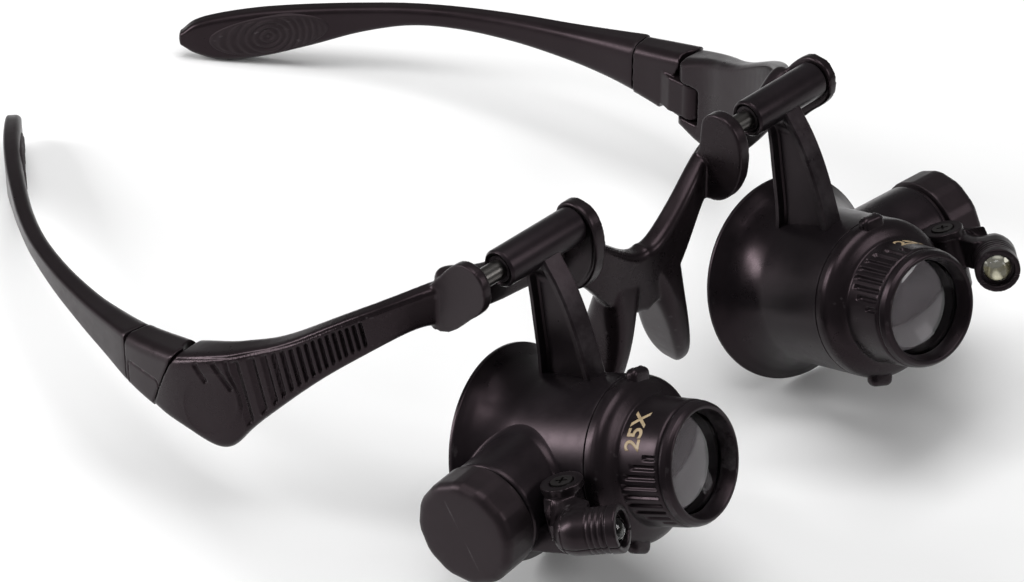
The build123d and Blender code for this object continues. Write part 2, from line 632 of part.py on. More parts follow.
    with BuildPart() as pivot_screw:
        with BuildSketch(arm_plane(-5.6)):
            Circle(1.0)
        extrude(amount=PIV_TOP - 0.85 + 5.6)
        with BuildSketch(arm_plane(PIV_TOP - 0.85)):
            Circle(1.95)
        extrude(amount=1.0)
        with BuildSketch(arm_plane(PIV_TOP + 0.15)):
            Rectangle(2.2, 0.45)
            Rectangle(0.45, 2.2)
        extrude(amount=-0.55, mode=Mode.SUBTRACT)
    save(pivot_screw, f"pivot_screw_{side}")
    print(side, "lens axis foot", [round(v, 3) for v in A], "u", [round(v, 4) for v in u], "w", [round(v, 4) for v in w],
          "e", [round(v, 4) for v in e], "pivot", [round(v, 3) for v in piv], "tube", [round(v, 3) for v in tube.origin])

print("rod centre", P(0, 0, 0), "pin", P(PIN_X, PIN_Y, -34), "pin axis", D(0, 0, 1))
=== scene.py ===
import bpy, bmesh
import numpy as np
from math import sin, cos, radians, atan2, acos, hypot, pi, sqrt, tan
from mathutils import Vector, Matrix


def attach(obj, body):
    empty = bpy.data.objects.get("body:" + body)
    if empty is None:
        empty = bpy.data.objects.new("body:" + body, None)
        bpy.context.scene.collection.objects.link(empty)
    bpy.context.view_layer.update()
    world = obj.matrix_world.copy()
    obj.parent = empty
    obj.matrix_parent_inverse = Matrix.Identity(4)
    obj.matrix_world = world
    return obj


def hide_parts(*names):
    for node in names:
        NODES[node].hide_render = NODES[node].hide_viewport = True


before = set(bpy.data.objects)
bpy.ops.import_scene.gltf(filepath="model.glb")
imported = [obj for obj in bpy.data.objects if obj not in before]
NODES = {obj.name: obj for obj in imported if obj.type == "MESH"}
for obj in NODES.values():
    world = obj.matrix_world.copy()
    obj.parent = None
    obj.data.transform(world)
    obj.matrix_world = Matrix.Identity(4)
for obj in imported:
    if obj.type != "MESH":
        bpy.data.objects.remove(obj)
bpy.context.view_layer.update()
SIDES = (("right", -1), ("left", 1))

# ------------------------------------------------------------ shared frame
PITCH, ROD_H, Y_SHIFT = 4.994, 59.29, -50.21
cp, sp = cos(radians(PITCH)), sin(radians(PITCH))


def V3(*a):
    return np.array(a, float)


def P(x, y, z):
    return V3(x, y * cp + z * sp + Y_SHIFT, z * cp - y * sp + ROD_H)


def D(x, y, z):
    return V3(x, y * cp + z * sp, z * cp - y * sp)


def to_rod(co):
    """Row-frame points in mm, to the frame of the rods with the front upright."""
    y, z = co[:, 1] - Y_SHIFT, co[:, 2] - ROD_H
    return np.stack([co[:, 0], y * cp - z * sp, y * sp + z * cp], 1)


UPV = D(0, 0, 1)
SLEEVE_X = {"right": -30.3, "left": 35.6}
PSI = {"right": 18.3, "left": 39.0}
TABS = {"right": (74.0, 241.0), "left": (86.0, 250.0)}
KNURL = {"right": 185.0, "left": 124.0}
MARK = {"right": 124.0, "left": 62.0}


class Loupe:
    pass


def loupe_frame(side, o):
    L = Loupe()
    th, ta = radians(19.5), radians(8.6) * -o
    L.o, L.side = o, side
    L.xs = SLEEVE_X[side]
    L.xarm = L.xs - o * 0.4
    L.u = D(sin(ta), -cos(th) * cos(ta), sin(th) * cos(ta))
    L.w = D(0, sin(th), cos(th))
    L.ex = np.cross(L.w, L.u)
    L.e = L.ex * o
    L.A = P(L.xarm + o * 3.0, 0, 0) - L.w * 39.2
    L.u0 = D(0, -cos(th), sin(th))
    ps = radians(PSI[side])
    L.uu = L.u * cos(ps) - L.e * sin(ps)
    L.ee = L.e * cos(ps) + L.u * sin(ps)
    L.piv = L.A + L.e * 19.1 + L.u * 11.1
    L.led0 = L.piv + L.ee * 8.3 - L.w * 0.3
    L.tube = L.A + L.w * 0.8 - L.u * 2.5 + L.e * 1.2
    return L


# ------------------------------------------------------------ mesh helpers
class Shape:
    """Vertices in mm, in the row frame, with faces."""

    def __init__(self):
        self.v, self.f, self.n = [], [], 0

    def add(self, v, f):
        v = np.asarray(v, float).reshape(-1, 3)
        self.v.append(v)
        self.f += [[i + self.n for i in q] for q in f]
        self.n += len(v)
        return self

    def join(self, other):
        return self.add(np.concatenate(other.v), other.f)

    def mesh(self, name, weld=1e-3):
        me = bpy.data.meshes.new(name)
        me.from_pydata(np.concatenate(self.v).tolist(), [], self.f)
        bm = bmesh.new()
        bm.from_mesh(me)
        if weld:
            bmesh.ops.remove_doubles(bm, verts=bm.verts, dist=weld)
            bmesh.ops.dissolve_degenerate(bm, edges=bm.edges, dist=weld * 0.5)
        bmesh.ops.recalc_face_normals(bm, faces=bm.faces)
        bm.to_mesh(me)
        bm.free()
        return me

    def obj(self, name, weld=1e-3):
        o = bpy.data.objects.new(name, self.mesh(name, weld))
        bpy.context.scene.collection.objects.link(o)
        return o


def fil(pts, k=6, closed=True):
    """Polyline with rounded corners: each point is (a, b) or (a, b, radius)."""
    out, n = [], len(pts)
    for i, q in enumerate(pts):
        p, f = np.array(q[:2], float), (q[2] if len(q) > 2 else 0.0)
        if f <= 0 or (not closed and i in (0, n - 1)):
            out.append(tuple(p))
            continue
        a, b = np.array(pts[i - 1][:2], float), np.array(pts[(i + 1) % n][:2], float)
        da, db = a - p, b - p
        la, lb = np.linalg.norm(da), np.linalg.norm(db)
        da, db = da / la, db / lb
        ang = acos(float(np.clip(da @ db, -1, 1)))
        if ang > pi - 0.02:
            out.append(tuple(p))
            continue
        t = min(f / tan(ang / 2), 0.48 * la, 0.48 * lb)
        r = t * tan(ang / 2)
        c = p + (da + db) / np.linalg.norm(da + db) * r / sin(ang / 2)
        p0, p1 = p + da * t, p + db * t
        a0, a1 = atan2(p0[1] - c[1], p0[0] - c[0]), atan2(p1[1] - c[1], p1[0] - c[0])
        d = (a1 - a0 + pi) % (2 * pi) - pi
        for j in range(k + 1):
            g = a0 + d * j / k
            out.append((c[0] + r * cos(g), c[1] + r * sin(g)))
    return out


def cr(pts, per=8, closed=False):
    """Catmull-Rom curve through the points, all columns at once."""
    p = np.asarray(pts, float)
    n = len(p)
    out = []
    last = n if closed else n - 1
    for i in range(last):
        if closed:
            a, b, c, d = p[(i - 1) % n], p[i], p[(i + 1) % n], p[(i + 2) % n]
        else:
            b, c = p[i], p[i + 1]
            a = p[i - 1] if i else 2 * b - c
            d = p[i + 2] if i + 2 < n else 2 * c - b
        for j in range(per):
            t = j / per
            out.append(0.5 * (2 * b + (c - a) * t + (2 * a - 5 * b + 4 * c - d) * t * t + (3 * b - a - 3 * c + d) * t ** 3))
    if not closed:
        out.append(p[-1])
    return np.array(out)


def grid_faces(m, n, wrap_n=True, wrap_m=False):
    f = []
    for i in range(m if wrap_m else m - 1):
        a, b = i * n, ((i + 1) % m) * n
        for j in range(n if wrap_n else n - 1):
            k = (j + 1) % n
            f.append([a + j, a + k, b + k, b + j])
    return f


def lathe(prof, O, ax, ra, rb, n=160, mod=None, closed=True):
    prof = np.array(prof, float)
    th = np.linspace(0, 2 * pi, n, endpoint=False)
    S = np.repeat(prof[:, :1], n, 1)
    R = np.repeat(prof[:, 1:2], n, 1)
    T = np.repeat(th[None, :], len(prof), 0)
    if mod:
        S, R = mod(S, R, T)
    pts = O + S[..., None] * ax + (R * np.cos(T))[..., None] * ra + (R * np.sin(T))[..., None] * rb
    return Shape().add(pts, grid_faces(len(prof), n, True, closed))


def ring_loft(rings, cap=True):
    rings = np.asarray(rings, float)
    m, n = rings.shape[:2]
    s = Shape().add(rings, grid_faces(m, n))
    if cap:
        for i, base in ((0, 0), (m - 1, (m - 1) * n)):
            c = rings[i].mean(0)
            s.v.append(c[None])
            ci = s.n
            s.n += 1
            s.f += [[base + j, base + (j + 1) % n, ci] for j in range(n)]
    return s


def rrect(t, h, r, k=5, q=4):
    """Rounded rectangle, t wide and h high; r is one radius or four (top-out, top-in, bottom-in, bottom-out)."""
    rs = [r] * 4 if np.isscalar(r) else list(r)
    lim = min(t, h) * 0.49
    rs = [min(x, lim) for x in rs]
    corners = [(t / 2, h / 2, 0), (-t / 2, h / 2, 1), (-t / 2, -h / 2, 2), (t / 2, -h / 2, 3)]
    pts = []
    for (x, y, i), rr in zip(corners, rs):
        cx, cy = x - np.sign(x) * rr, y - np.sign(y) * rr
        for j in range(k + 1):
            g = pi / 2 * (i + j / k)
            pts.append((cx + rr * cos(g), cy + rr * sin(g)))
        nx, ny, ni = corners[(i + 1) % 4]
        nr = rs[(i + 1) % 4]
        ncx, ncy = nx - np.sign(nx) * nr, ny - np.sign(ny) * nr
        g = pi / 2 * (i + 1)
        a = np.array(pts[-1])
        b = np.array((ncx + nr * cos(g), ncy + nr * sin(g)))
        for j in range(1, q):
            pts.append(tuple(a + (b - a) * j / q))
    return np.array(pts)


def prism(outline, O, ax, ay, az, h, bevel=0.0, k=3):
    """Outline in (ax, ay), raised from O along az by h, its two edges rounded off."""
    pts = np.array(outline, float)
    area = 0.5 * np.sum(pts[:, 0] * np.roll(pts[:, 1], -1) - np.roll(pts[:, 0], -1) * pts[:, 1])
    if area < 0:
        pts = pts[::-1]
    t = np.roll(pts, -1, 0) - np.roll(pts, 1, 0)
    t /= np.linalg.norm(t, axis=1)[:, None] + 1e-12
    nrm = np.stack([t[:, 1], -t[:, 0]], 1)
    lv = []
    if bevel > 0:
        for j in range(k + 1):
            g = pi / 2 * j / k
            lv.append((bevel * (1 - sin(g)), bevel * (1 - cos(g))))
        lv += [(a, h - b) for a, b in reversed(lv)]
    else:
        lv = [(0, 0), (0, h)]
    rings = [O + (pts - nrm * a)[:, :1] * ax + (pts - nrm * a)[:, 1:] * ay + b * az for a, b in lv]
    return ring_loft(rings)


def link(me, name):
    o = bpy.data.objects.new(name, me)
    bpy.context.scene.collection.objects.link(o)
    return o


def baked(o):
    """Apply all modifiers."""
    bpy.context.view_layer.update()
    dg = bpy.context.evaluated_depsgraph_get()
    me = bpy.data.meshes.new_from_object(o.evaluated_get(dg))
    o.modifiers.clear()
    old = o.data
    o.data = me
    if old.users == 0:
        bpy.data.meshes.remove(old)
    return o


def voxel(o, size, smooth=3, factor=0.5):
    m = o.modifiers.new("remesh", "REMESH")
    m.mode = "VOXEL"
    m.voxel_size = size
    m.adaptivity = 0
    if smooth:
        s = o.modifiers.new("smooth", "SMOOTH")
        s.factor, s.iterations = factor, smooth
    return baked(o)


def cut(o, tool, op="DIFFERENCE"):
    m = o.modifiers.new("cut", "BOOLEAN")
    m.operation, m.solver, m.object = op, "EXACT", tool
    if op == "UNION":
        m.use_self = True
    baked(o)
    bpy.data.objects.remove(tool)
    return o


def cad_copy(node, name):
    """A copy of a CAD node's mesh in mm, welded."""
    me = NODES[node].data.copy()
    me.name = name
    me.materials.clear()
    me.transform(Matrix.Scale(1000, 4))
    bm = bmesh.new()
    bm.from_mesh(me)
    bmesh.ops.remove_doubles(bm, verts=bm.verts, dist=2e-3)
    bmesh.ops.recalc_face_normals(bm, faces=bm.faces)
    bm.to_mesh(me)
    bm.free()
    return link(me, name)


def coords(o):
    co = np.zeros(len(o.data.vertices) * 3)
    o.data.vertices.foreach_get("co", co)
    return co.reshape(-1, 3)


def normals(o):
    no = np.zeros(len(o.data.vertices) * 3, np.float32)
    o.data.vertices.foreach_get("normal", no)
    return no.reshape(-1, 3).astype(float)


def set_coords(o, co):
    o.data.vertices.foreach_set("co", co.reshape(-1).astype(np.float32))
    o.data.update()


def refine(o, mask, cuts=1):
    """Divide the edges whose two ends are inside the mask."""
    bm = bmesh.new()
    bm.from_mesh(o.data)
    bm.verts.ensure_lookup_table()
    ed = [e for e in bm.edges if mask[e.verts[0].index] and mask[e.verts[1].index]]
    bmesh.ops.subdivide_edges(bm, edges=ed, cuts=cuts, use_grid_fill=True)
    bm.to_mesh(o.data)
    bm.free()
    return o


def sstep(x, a, b):
    t = np.clip((x - a) / (b - a), 0, 1)
    return t * t * (3 - 2 * t)


def done(o, body, nodes, mat, smooth=45):
    """Scale to metres, shade, give the material, and put the piece on its body."""
    o.data.transform(Matrix.Scale(0.001, 4))
    o.data.polygons.foreach_set("use_smooth", np.ones(len(o.data.polygons), bool))
    if smooth:
        o.data.set_sharp_from_angle(angle=radians(smooth))
    o.data.materials.clear()
    o.data.materials.append(mat)
    o.data.update()
    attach(o, body)
    if nodes:
        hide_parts(*nodes)
    return o


# ------------------------------------------------------------ materials
def new_mat(name):
    m = bpy.data.materials.new(name)
    m.use_nodes = True
    nt = m.node_tree
    return m, nt, nt.nodes["Principled BSDF"]


def nd(nt, kind, **props):
    n = nt.nodes.new(kind)
    for k, v in props.items():
        if k.startswith("in_"):
            n.inputs[k[3:].replace("_", " ")].default_value = v
        else:
            setattr(n, k, v)
    return n


def moulded(name, low, high, rough=(0.30, 0.44), grain=0.02, grain_scale=900.0, coat=0.0, spec=0.22, worn=0.4, wear_col=(0.11, 0.10, 0.105, 1)):
    """Injection-moulded plastic: cloudy tint, uneven gloss, faint grain, rubbed edges."""
    low, high = [c * 0.72 for c in low], [c * 0.72 for c in high]
    m, nt, b = new_mat(name)
    L = nt.links.new
    tc = nd(nt, "ShaderNodeTexCoord")
    cloud = nd(nt, "ShaderNodeTexNoise", in_Scale=55.0, in_Detail=5.0, in_Roughness=0.55)
    L(tc.outputs["Object"], cloud.inputs["Vector"])
    ramp = nd(nt, "ShaderNodeValToRGB")
    ramp.color_ramp.elements[0].position, ramp.color_ramp.elements[0].color = 0.32, (*low, 1)
    ramp.color_ramp.elements[1].position, ramp.color_ramp.elements[1].color = 0.72, (*high, 1)
    L(cloud.outputs["Fac"], ramp.inputs["Fac"])
    # rubbed edges
    geo = nd(nt, "ShaderNodeNewGeometry")
    er = nd(nt, "ShaderNodeMapRange")
    er.inputs["From Min"].default_value, er.inputs["From Max"].default_value = 0.525, 0.62
    L(geo.outputs["Pointiness"], er.inputs["Value"])
    patch = nd(nt, "ShaderNodeTexNoise", in_Scale=210.0, in_Detail=6.0, in_Roughness=0.7)
    L(tc.outputs["Object"], patch.inputs["Vector"])
    pr = nd(nt, "ShaderNodeMapRange")
    pr.inputs["From Min"].default_value, pr.inputs["From Max"].default_value = 0.42, 0.68
    L(patch.outputs["Fac"], pr.inputs["Value"])
    mul = nd(nt, "ShaderNodeMath", operation="MULTIPLY")
    L(er.outputs["Result"], mul.inputs[0])
    L(pr.outputs["Result"], mul.inputs[1])
    mul2 = nd(nt, "ShaderNodeMath", operation="MULTIPLY")
    mul2.inputs[1].default_value = worn
    L(mul.outputs[0], mul2.inputs[0])
    mix = nd(nt, "ShaderNodeMix", data_type="RGBA")
    L(mul2.outputs[0], mix.inputs["Factor"])
    L(ramp.outputs["Color"], mix.inputs[6])
    mix.inputs[7].default_value = wear_col
    L(mix.outputs[2], b.inputs["Base Color"])
    # gloss: broad clouds plus fine scuffs
    scuff = nd(nt, "ShaderNodeTexNoise", in_Scale=420.0, in_Detail=4.0, in_Roughness=0.65)
    L(tc.outputs["Object"], scuff.inputs["Vector"])
    add = nd(nt, "ShaderNodeMath", operation="ADD")
    half = nd(nt, "ShaderNodeMath", operation="MULTIPLY")
    half.inputs[1].default_value = 0.5
    L(cloud.outputs["Fac"], add.inputs[0])
    L(scuff.outputs["Fac"], add.inputs[1])
    L(add.outputs[0], half.inputs[0])
    rr = nd(nt, "ShaderNodeMapRange")
    rr.inputs["From Min"].default_value, rr.inputs["From Max"].default_value = 0.35, 0.65
    rr.inputs["To Min"].default_value, rr.inputs["To Max"].default_value = rough
    L(half.outputs[0], rr.inputs["Value"])
    L(rr.outputs["Result"], b.inputs["Roughness"])
    fine = nd(nt, "ShaderNodeTexNoise", in_Scale=grain_scale, in_Detail=3.0, in_Roughness=0.5)
    L(tc.outputs["Object"], fine.inputs["Vector"])
    bump = nd(nt, "ShaderNodeBump")
    bump.inputs["Strength"].default_value = 0.35
    bump.inputs["Distance"].default_value = grain * 0.001
    L(fine.outputs["Fac"], bump.inputs["Height"])
    L(bump.outputs["Normal"], b.inputs["Normal"])
    b.inputs["Specular IOR Level"].default_value = spec
    b.inputs["Specular Tint"].default_value = (1.0, 0.74, 0.84, 1)
    b.inputs["Coat Weight"].default_value = coat
    b.inputs["Coat Roughness"].default_value = 0.18
    return m


M_FRAME = moulded("plastic_frame", (0.0075, 0.0056, 0.0064), (0.0135, 0.0102, 0.0115), (0.24, 0.36), grain=0.012)
M_TEMPLE = moulded("plastic_temple", (0.0085, 0.0062, 0.0070), (0.0145, 0.0108, 0.0122), (0.27, 0.40), grain=0.014)
M_LOUPE = moulded("plastic_loupe", (0.0070, 0.0056, 0.0066), (0.0125, 0.0100, 0.0118), (0.26, 0.38), grain=0.018, grain_scale=1200.0)
M_MOUNT = moulded("plastic_mount", (0.0070, 0.0056, 0.0064), (0.0125, 0.0098, 0.0114), (0.24, 0.36), grain=0.012)
M_CAP = moulded("plastic_cap", (0.0110, 0.0086, 0.0096), (0.0180, 0.0142, 0.0158), (0.34, 0.48), grain=0.022)
M_LAMP = moulded("plastic_lamp_arm", (0.0075, 0.0060, 0.0068), (0.0130, 0.0104, 0.0118), (0.26, 0.38), grain=0.012)
M_INSIDE = moulded("plastic_inside", (0.0060, 0.0048, 0.0054), (0.0100, 0.0082, 0.0092), (0.42, 0.60), grain=0.02, worn=0.2)
M_RUBBER = moulded("rubber_pad", (0.0100, 0.0082, 0.0088), (0.0190, 0.0160, 0.0168), (0.58, 0.74), grain=0.05, grain_scale=1500.0, spec=0.35, worn=0.35)


def metal(name, col, rough, aniso_scale=None, tint=(0.9, 0.88, 0.85)):
    m, nt, b = new_mat(name)
    L = nt.links.new
    tc = nd(nt, "ShaderNodeTexCoord")
    mp = nd(nt, "ShaderNodeMapping")
    mp.inputs["Scale"].default_value = aniso_scale or (1, 1, 1)
    L(tc.outputs["Object"], mp.inputs["Vector"])
    n1 = nd(nt, "ShaderNodeTexNoise", in_Scale=300.0, in_Detail=6.0, in_Roughness=0.6)
    L(mp.outputs["Vector"], n1.inputs["Vector"])
    ramp = nd(nt, "ShaderNodeValToRGB")
    ramp.color_ramp.elements[0].position, ramp.color_ramp.elements[0].color = 0.3, (*[c * t for c, t in zip(col, tint)], 1)
    ramp.color_ramp.elements[1].position, ramp.color_ramp.elements[1].color = 0.7, (*col, 1)
    L(n1.outputs["Fac"], ramp.inputs["Fac"])
    L(ramp.outputs["Color"], b.inputs["Base Color"])
    rr = nd(nt, "ShaderNodeMapRange")
    rr.inputs["To Min"].default_value, rr.inputs["To Max"].default_value = rough
    L(n1.outputs["Fac"], rr.inputs["Value"])
    L(rr.outputs["Result"], b.inputs["Roughness"])
    bump = nd(nt, "ShaderNodeBump")
    bump.inputs["Strength"].default_value = 0.2
    bump.inputs["Distance"].default_value = 0.00001
    L(n1.outputs["Fac"], bump.inputs["Height"])
    L(bump.outputs["Normal"], b.inputs["Normal"])
    b.inputs["Metallic"].default_value = 1.0
    return m


M_ROD = metal("steel_rod", (0.10, 0.095, 0.092), (0.22, 0.36), (0.3, 4, 4))
M_PIN = metal("steel_pin", (0.34, 0.33, 0.33), (0.28, 0.42))
M_SCREW = metal("steel_screw", (0.10, 0.095, 0.095), (0.30, 0.48))
M_PLATE = metal("contact_plate", (0.62, 0.60, 0.55), (0.18, 0.32))
M_CELL = metal("cell_can", (0.58, 0.58, 0.57), (0.22, 0.36))
M_CUP = metal("lamp_cup", (0.86, 0.84, 0.74), (0.12, 0.25))


def glassy(name, col, rough, ior=1.5, coat=0.0):
    m, nt, b = new_mat(name)
    L = nt.links.new
    tc = nd(nt, "ShaderNodeTexCoord")
    n1 = nd(nt, "ShaderNodeTexNoise", in_Scale=260.0, in_Detail=5.0, in_Roughness=0.6)
    L(tc.outputs["Object"], n1.inputs["Vector"])
    rr = nd(nt, "ShaderNodeMapRange")
    rr.inputs["To Min"].default_value, rr.inputs["To Max"].default_value = rough
    L(n1.outputs["Fac"], rr.inputs["Value"])
    L(rr.outputs["Result"], b.inputs["Roughness"])
    ramp = nd(nt, "ShaderNodeValToRGB")
    ramp.color_ramp.elements[0].color = (*[c * 0.985 for c in col], 1)
    ramp.color_ramp.elements[1].color = (*col, 1)
    L(n1.outputs["Fac"], ramp.inputs["Fac"])
    L(ramp.outputs["Color"], b.inputs["Base Color"])
    b.inputs["Transmission Weight"].default_value = 1.0
    b.inputs["IOR"].default_value = ior
    b.inputs["Coat Weight"].default_value = coat
    return m


# lens glass tinted dark grey: the tint is painted shade, for the dark inside of the loupe seen through the clear lenses
M_GLASS_PAINTED_SHADE = glassy("lens_glass", (0.27, 0.255, 0.265), (0.0, 0.02), 1.49)
M_EPOXY = glassy("lamp_epoxy", (0.97, 0.98, 0.97), (0.0, 0.03), 1.45)


def paint(name, col):
    m, nt, b = new_mat(name)
    L = nt.links.new
    tc = nd(nt, "ShaderNodeTexCoord")
    n1 = nd(nt, "ShaderNodeTexNoise", in_Scale=500.0, in_Detail=5.0, in_Roughness=0.7)
    L(tc.outputs["Object"], n1.inputs["Vector"])
    ramp = nd(nt, "ShaderNodeValToRGB")
    ramp.color_ramp.elements[0].position, ramp.color_ramp.elements[0].color = 0.3, (*[c * 0.62 for c in col], 1)
    ramp.color_ramp.elements[1].position, ramp.color_ramp.elements[1].color = 0.6, (*col, 1)
    L(n1.outputs["Fac"], ramp.inputs["Fac"])
    L(ramp.outputs["Color"], b.inputs["Base Color"])
    rr = nd(nt, "ShaderNodeMapRange")
    rr.inputs["To Min"].default_value, rr.inputs["To Max"].default_value = 0.35, 0.6
    L(n1.outputs["Fac"], rr.inputs["Value"])
    L(rr.outputs["Result"], b.inputs["Roughness"])
    return m


M_GOLD = paint("gold_print", (0.36, 0.27, 0.16))

# ------------------------------------------------------------ front moulding
BAR = np.array([
    (46.4, 6.4, -3.4, -12.0, 3.6),
    (50.5, 9.4, -4.7, -12.1, 3.3),
    (55.2, 13.4, -6.9, -15.2, 3.3),
    (60.2, 19.6, -10.7, -20.8, 3.6),
    (64.4, 27.0, -15.8, -28.6, 4.4),
    (68.2, 35.0, -20.0, -38.4, 5.8),
    (70.2, 39.0, -21.6, -42.2, 6.8),
    (71.5, 43.0, -23.0, -41.7, 7.7),
    (72.6, 47.5, -24.6, -40.3, 8.5),
    (72.9, 52.5, -26.4, -39.3, 8.7),
    (72.7, 59.5, -28.4, -38.6, 8.6),
])
BARS = cr(BAR, 24)
BARL = np.concatenate([[0], np.cumsum(np.hypot(np.diff(BARS[:, 0]), np.diff(BARS[:, 1])))])


def on_bar(q):
    """For rod-frame points (x made positive): path length, distance out of the outer line, depth below the top."""
    seg = BARS[:, :2]
    tan_ = np.gradient(seg, axis=0)
    tan_ /= np.linalg.norm(tan_, axis=1)[:, None]
    nrm = np.stack([tan_[:, 1], -tan_[:, 0]], 1)
    out = np.empty((len(q), 4))
    for lo in range(0, len(q), 20000):
        p = q[lo:lo + 20000, :2]
        d = np.linalg.norm(p[:, None, :] - seg[None], axis=2)
        i = d.argmin(1)
        rel = p - seg[i]
        out[lo:lo + 20000, 0] = BARL[i] + (rel * tan_[i]).sum(1)
        out[lo:lo + 20000, 1] = (rel * nrm[i]).sum(1)
        out[lo:lo + 20000, 2] = BARS[i, 2] - q[lo:lo + 20000, 2]
        out[lo:lo + 20000, 3] = BARS[i, 2] - BARS[i, 3]
    return out


def front_moulding():
    o = cad_copy("front_frame", "front_moulding")
    extra = Shape()
    for s in (-1, 1):
        # raised rims on the lugs' outer faces
        inner = cr([(0.2, 4.0), (-3.7, 2.3), (-5.4, -2.0), (-4.9, -8.0), (-1.4, -13.2), (3.0, -14.0), (6.0, -10.0), (4.4, -3.4), (3.8, 2.0)], 10, True)
        t = np.roll(inner, -1, 0) - np.roll(inner, 1, 0)
        t /= np.linalg.norm(t, axis=1)[:, None]
        nrm = np.stack([t[:, 1], -t[:, 0]], 1)
        c = inner.mean(0)
        if ((inner - c) * nrm).sum() < 0:
            nrm = -nrm
        rings = []
        for a, b in ((0.0, 0.0), (0.0, 0.25), (0.18, 0.4), (0.6, 0.4), (0.78, 0.25), (0.78, 0.0)):
            r2 = inner - nrm * a
            rings.append(np.array([P(s * (20.4 + b - 0.02), y, z) for y, z in r2]))
        rings = np.array(rings)
        extra.add(rings, grid_faces(6, rings.shape[1], True, True))
    rim = extra.obj("rims")
    cut(o, rim, "UNION")
    voxel(o, 0.30, 3, 0.5)
    # grooves on the outer faces, only where the surface looks outwards
    co, no = coords(o), normals(o)
    rod = to_rod(co)
    nr = np.stack([no[:, 0], no[:, 1] * cp - no[:, 2] * sp, no[:, 1] * sp + no[:, 2] * cp], 1)
    q = rod.copy()
    q[:, 0] = np.abs(q[:, 0])
    ob = on_bar(q)
    outer = (np.abs(ob[:, 1]) < 1.4) & (ob[:, 0] > 5) & (ob[:, 0] < 52) & (ob[:, 2] > -0.6) & (q[:, 0] > 50)
    refine(o, outer & (ob[:, 2] > 0.2), 1)
    co, no = coords(o), normals(o)
    rod = to_rod(co)
    nr = np.stack([no[:, 0] * np.sign(rod[:, 0]), no[:, 1] * cp - no[:, 2] * sp, no[:, 1] * sp + no[:, 2] * cp], 1)
    q = rod.copy()
    q[:, 0] = np.abs(q[:, 0])
    ob = on_bar(q)
    a, off, h, H = ob.T
    # outward facing share of the surface
    seg_t = np.gradient(BARS[:, :2], axis=0)
    seg_t /= np.linalg.norm(seg_t, axis=1)[:, None]
    k = np.clip(np.searchsorted(BARL, a), 0, len(BARL) - 1)
    outn = np.stack([seg_t[k, 1], -seg_t[k, 0]], 1)
    face = sstep((nr[:, :2] * outn).sum(1), 0.45, 0.8) * (q[:, 0] > 49)
    # columns of the grooves in the picture, carried on to the bar's own length
    cx = np.array([415, 490, 555, 605, 650, 692, 732, 770, 806, 841, 876, 910, 944, 978, 1012, 1046], float)
    ga = np.interp(cx, [255, 450, 685, 920, 1150, 1325], [BARL[168], BARL[120], BARL[96], BARL[72], BARL[48], BARL[24]])
    pitch = np.abs(np.gradient(ga))
    depth = np.zeros(len(co))
    for g, pw in zip(ga, pitch):
        ac = g - 0.19 * (h - 1.0)
        w = 0.30 * pw
        dd = np.clip(1 - np.abs(a - ac) / w, 0, 1)
        end = sstep(h, 1.1, 1.8) * (1 - sstep(h, H - 2.6, H - 1.9))
        depth = np.maximum(depth, 0.66 * (dd ** 0.8) * end)
    # long curved line that closes the smooth pad, and two short slanted flutes above it
    ln = BARL[120] + 3.2
    ac = ln - 0.16 * (h - 1) - 1.1 * sstep(h, 2, 9) + 1.6 * sstep(h, 12, 17)
    dd = np.clip(1 - np.abs(a - ac) / 0.45, 0, 1)
    depth = np.maximum(depth, 0.5 * dd * sstep(h, 0.9, 1.6) * (1 - sstep(h, H - 7.5, H - 4.5)))
    for a0, h0, a1, h1 in ((BARL[171], 1.7, BARL[171] - 1.9, 5.2), (BARL[150], 1.6, BARL[150] - 3.2, 7.2)):
        t = np.clip(((a - a0) * (a1 - a0) + (h - h0) * (h1 - h0)) / ((a1 - a0) ** 2 + (h1 - h0) ** 2), 0, 1)
        dist = np.hypot(a - (a0 + t * (a1 - a0)), h - (h0 + t * (h1 - h0)))
        depth = np.maximum(depth, 0.42 * np.clip(1 - dist / 0.6, 0, 1))
    # smooth pad: a shallow dished oval in the corner
    pad = np.clip(1 - ((a - BARL[156]) / 5.4) ** 2 - ((h - 10.0) / 6.6) ** 2, 0, 1)
    depth = depth + 0.30 * np.sqrt(pad) * 0.6
    # step that sets the top strip off from the face
    strip = np.clip(1 - np.abs(h - 0.55) / 0.32, 0, 1) * 0.16 * (a > 4) * (a < BARL[194])
    depth = np.maximum(depth, strip)
    co = co - no * (depth * face)[:, None]
    set_coords(o, co)
    return done(o, "frame", ["front_frame"], M_FRAME, 60)


front_moulding()

# ------------------------------------------------------------ temples
SIDE = [
    (69.2, 47.0, -24.2, -40.4, 7.6), (69.0, 52.0, -25.2, -39.7, 7.5), (68.8, 57.0, -26.2, -39.0, 7.2),
    (68.4, 61.75, -27.0, -38.4, 6.8), (67.1, 69.5, -28.2, -37.3, 5.6), (65.2, 78.5, -29.4, -36.5, 4.6),
    (62.0, 90.0, -30.4, -35.8, 3.9), (57.6, 101.5, -31.3, -35.6, 3.5), (52.6, 111.0, -32.0, -36.3, 3.3),
    (46.8, 119.8, -32.9, -38.9, 3.3), (40.5, 128.6, -34.0, -42.9, 3.4), (34.2, 136.6, -35.2, -46.0, 3.4),
    (28.6, 143.0, -36.7, -47.0, 3.3), (24.9, 147.0, -38.3, -45.6, 3.0), (22.9, 149.2, -40.6, -43.8, 2.2)]
SIDES_ = cr(SIDE, 12)


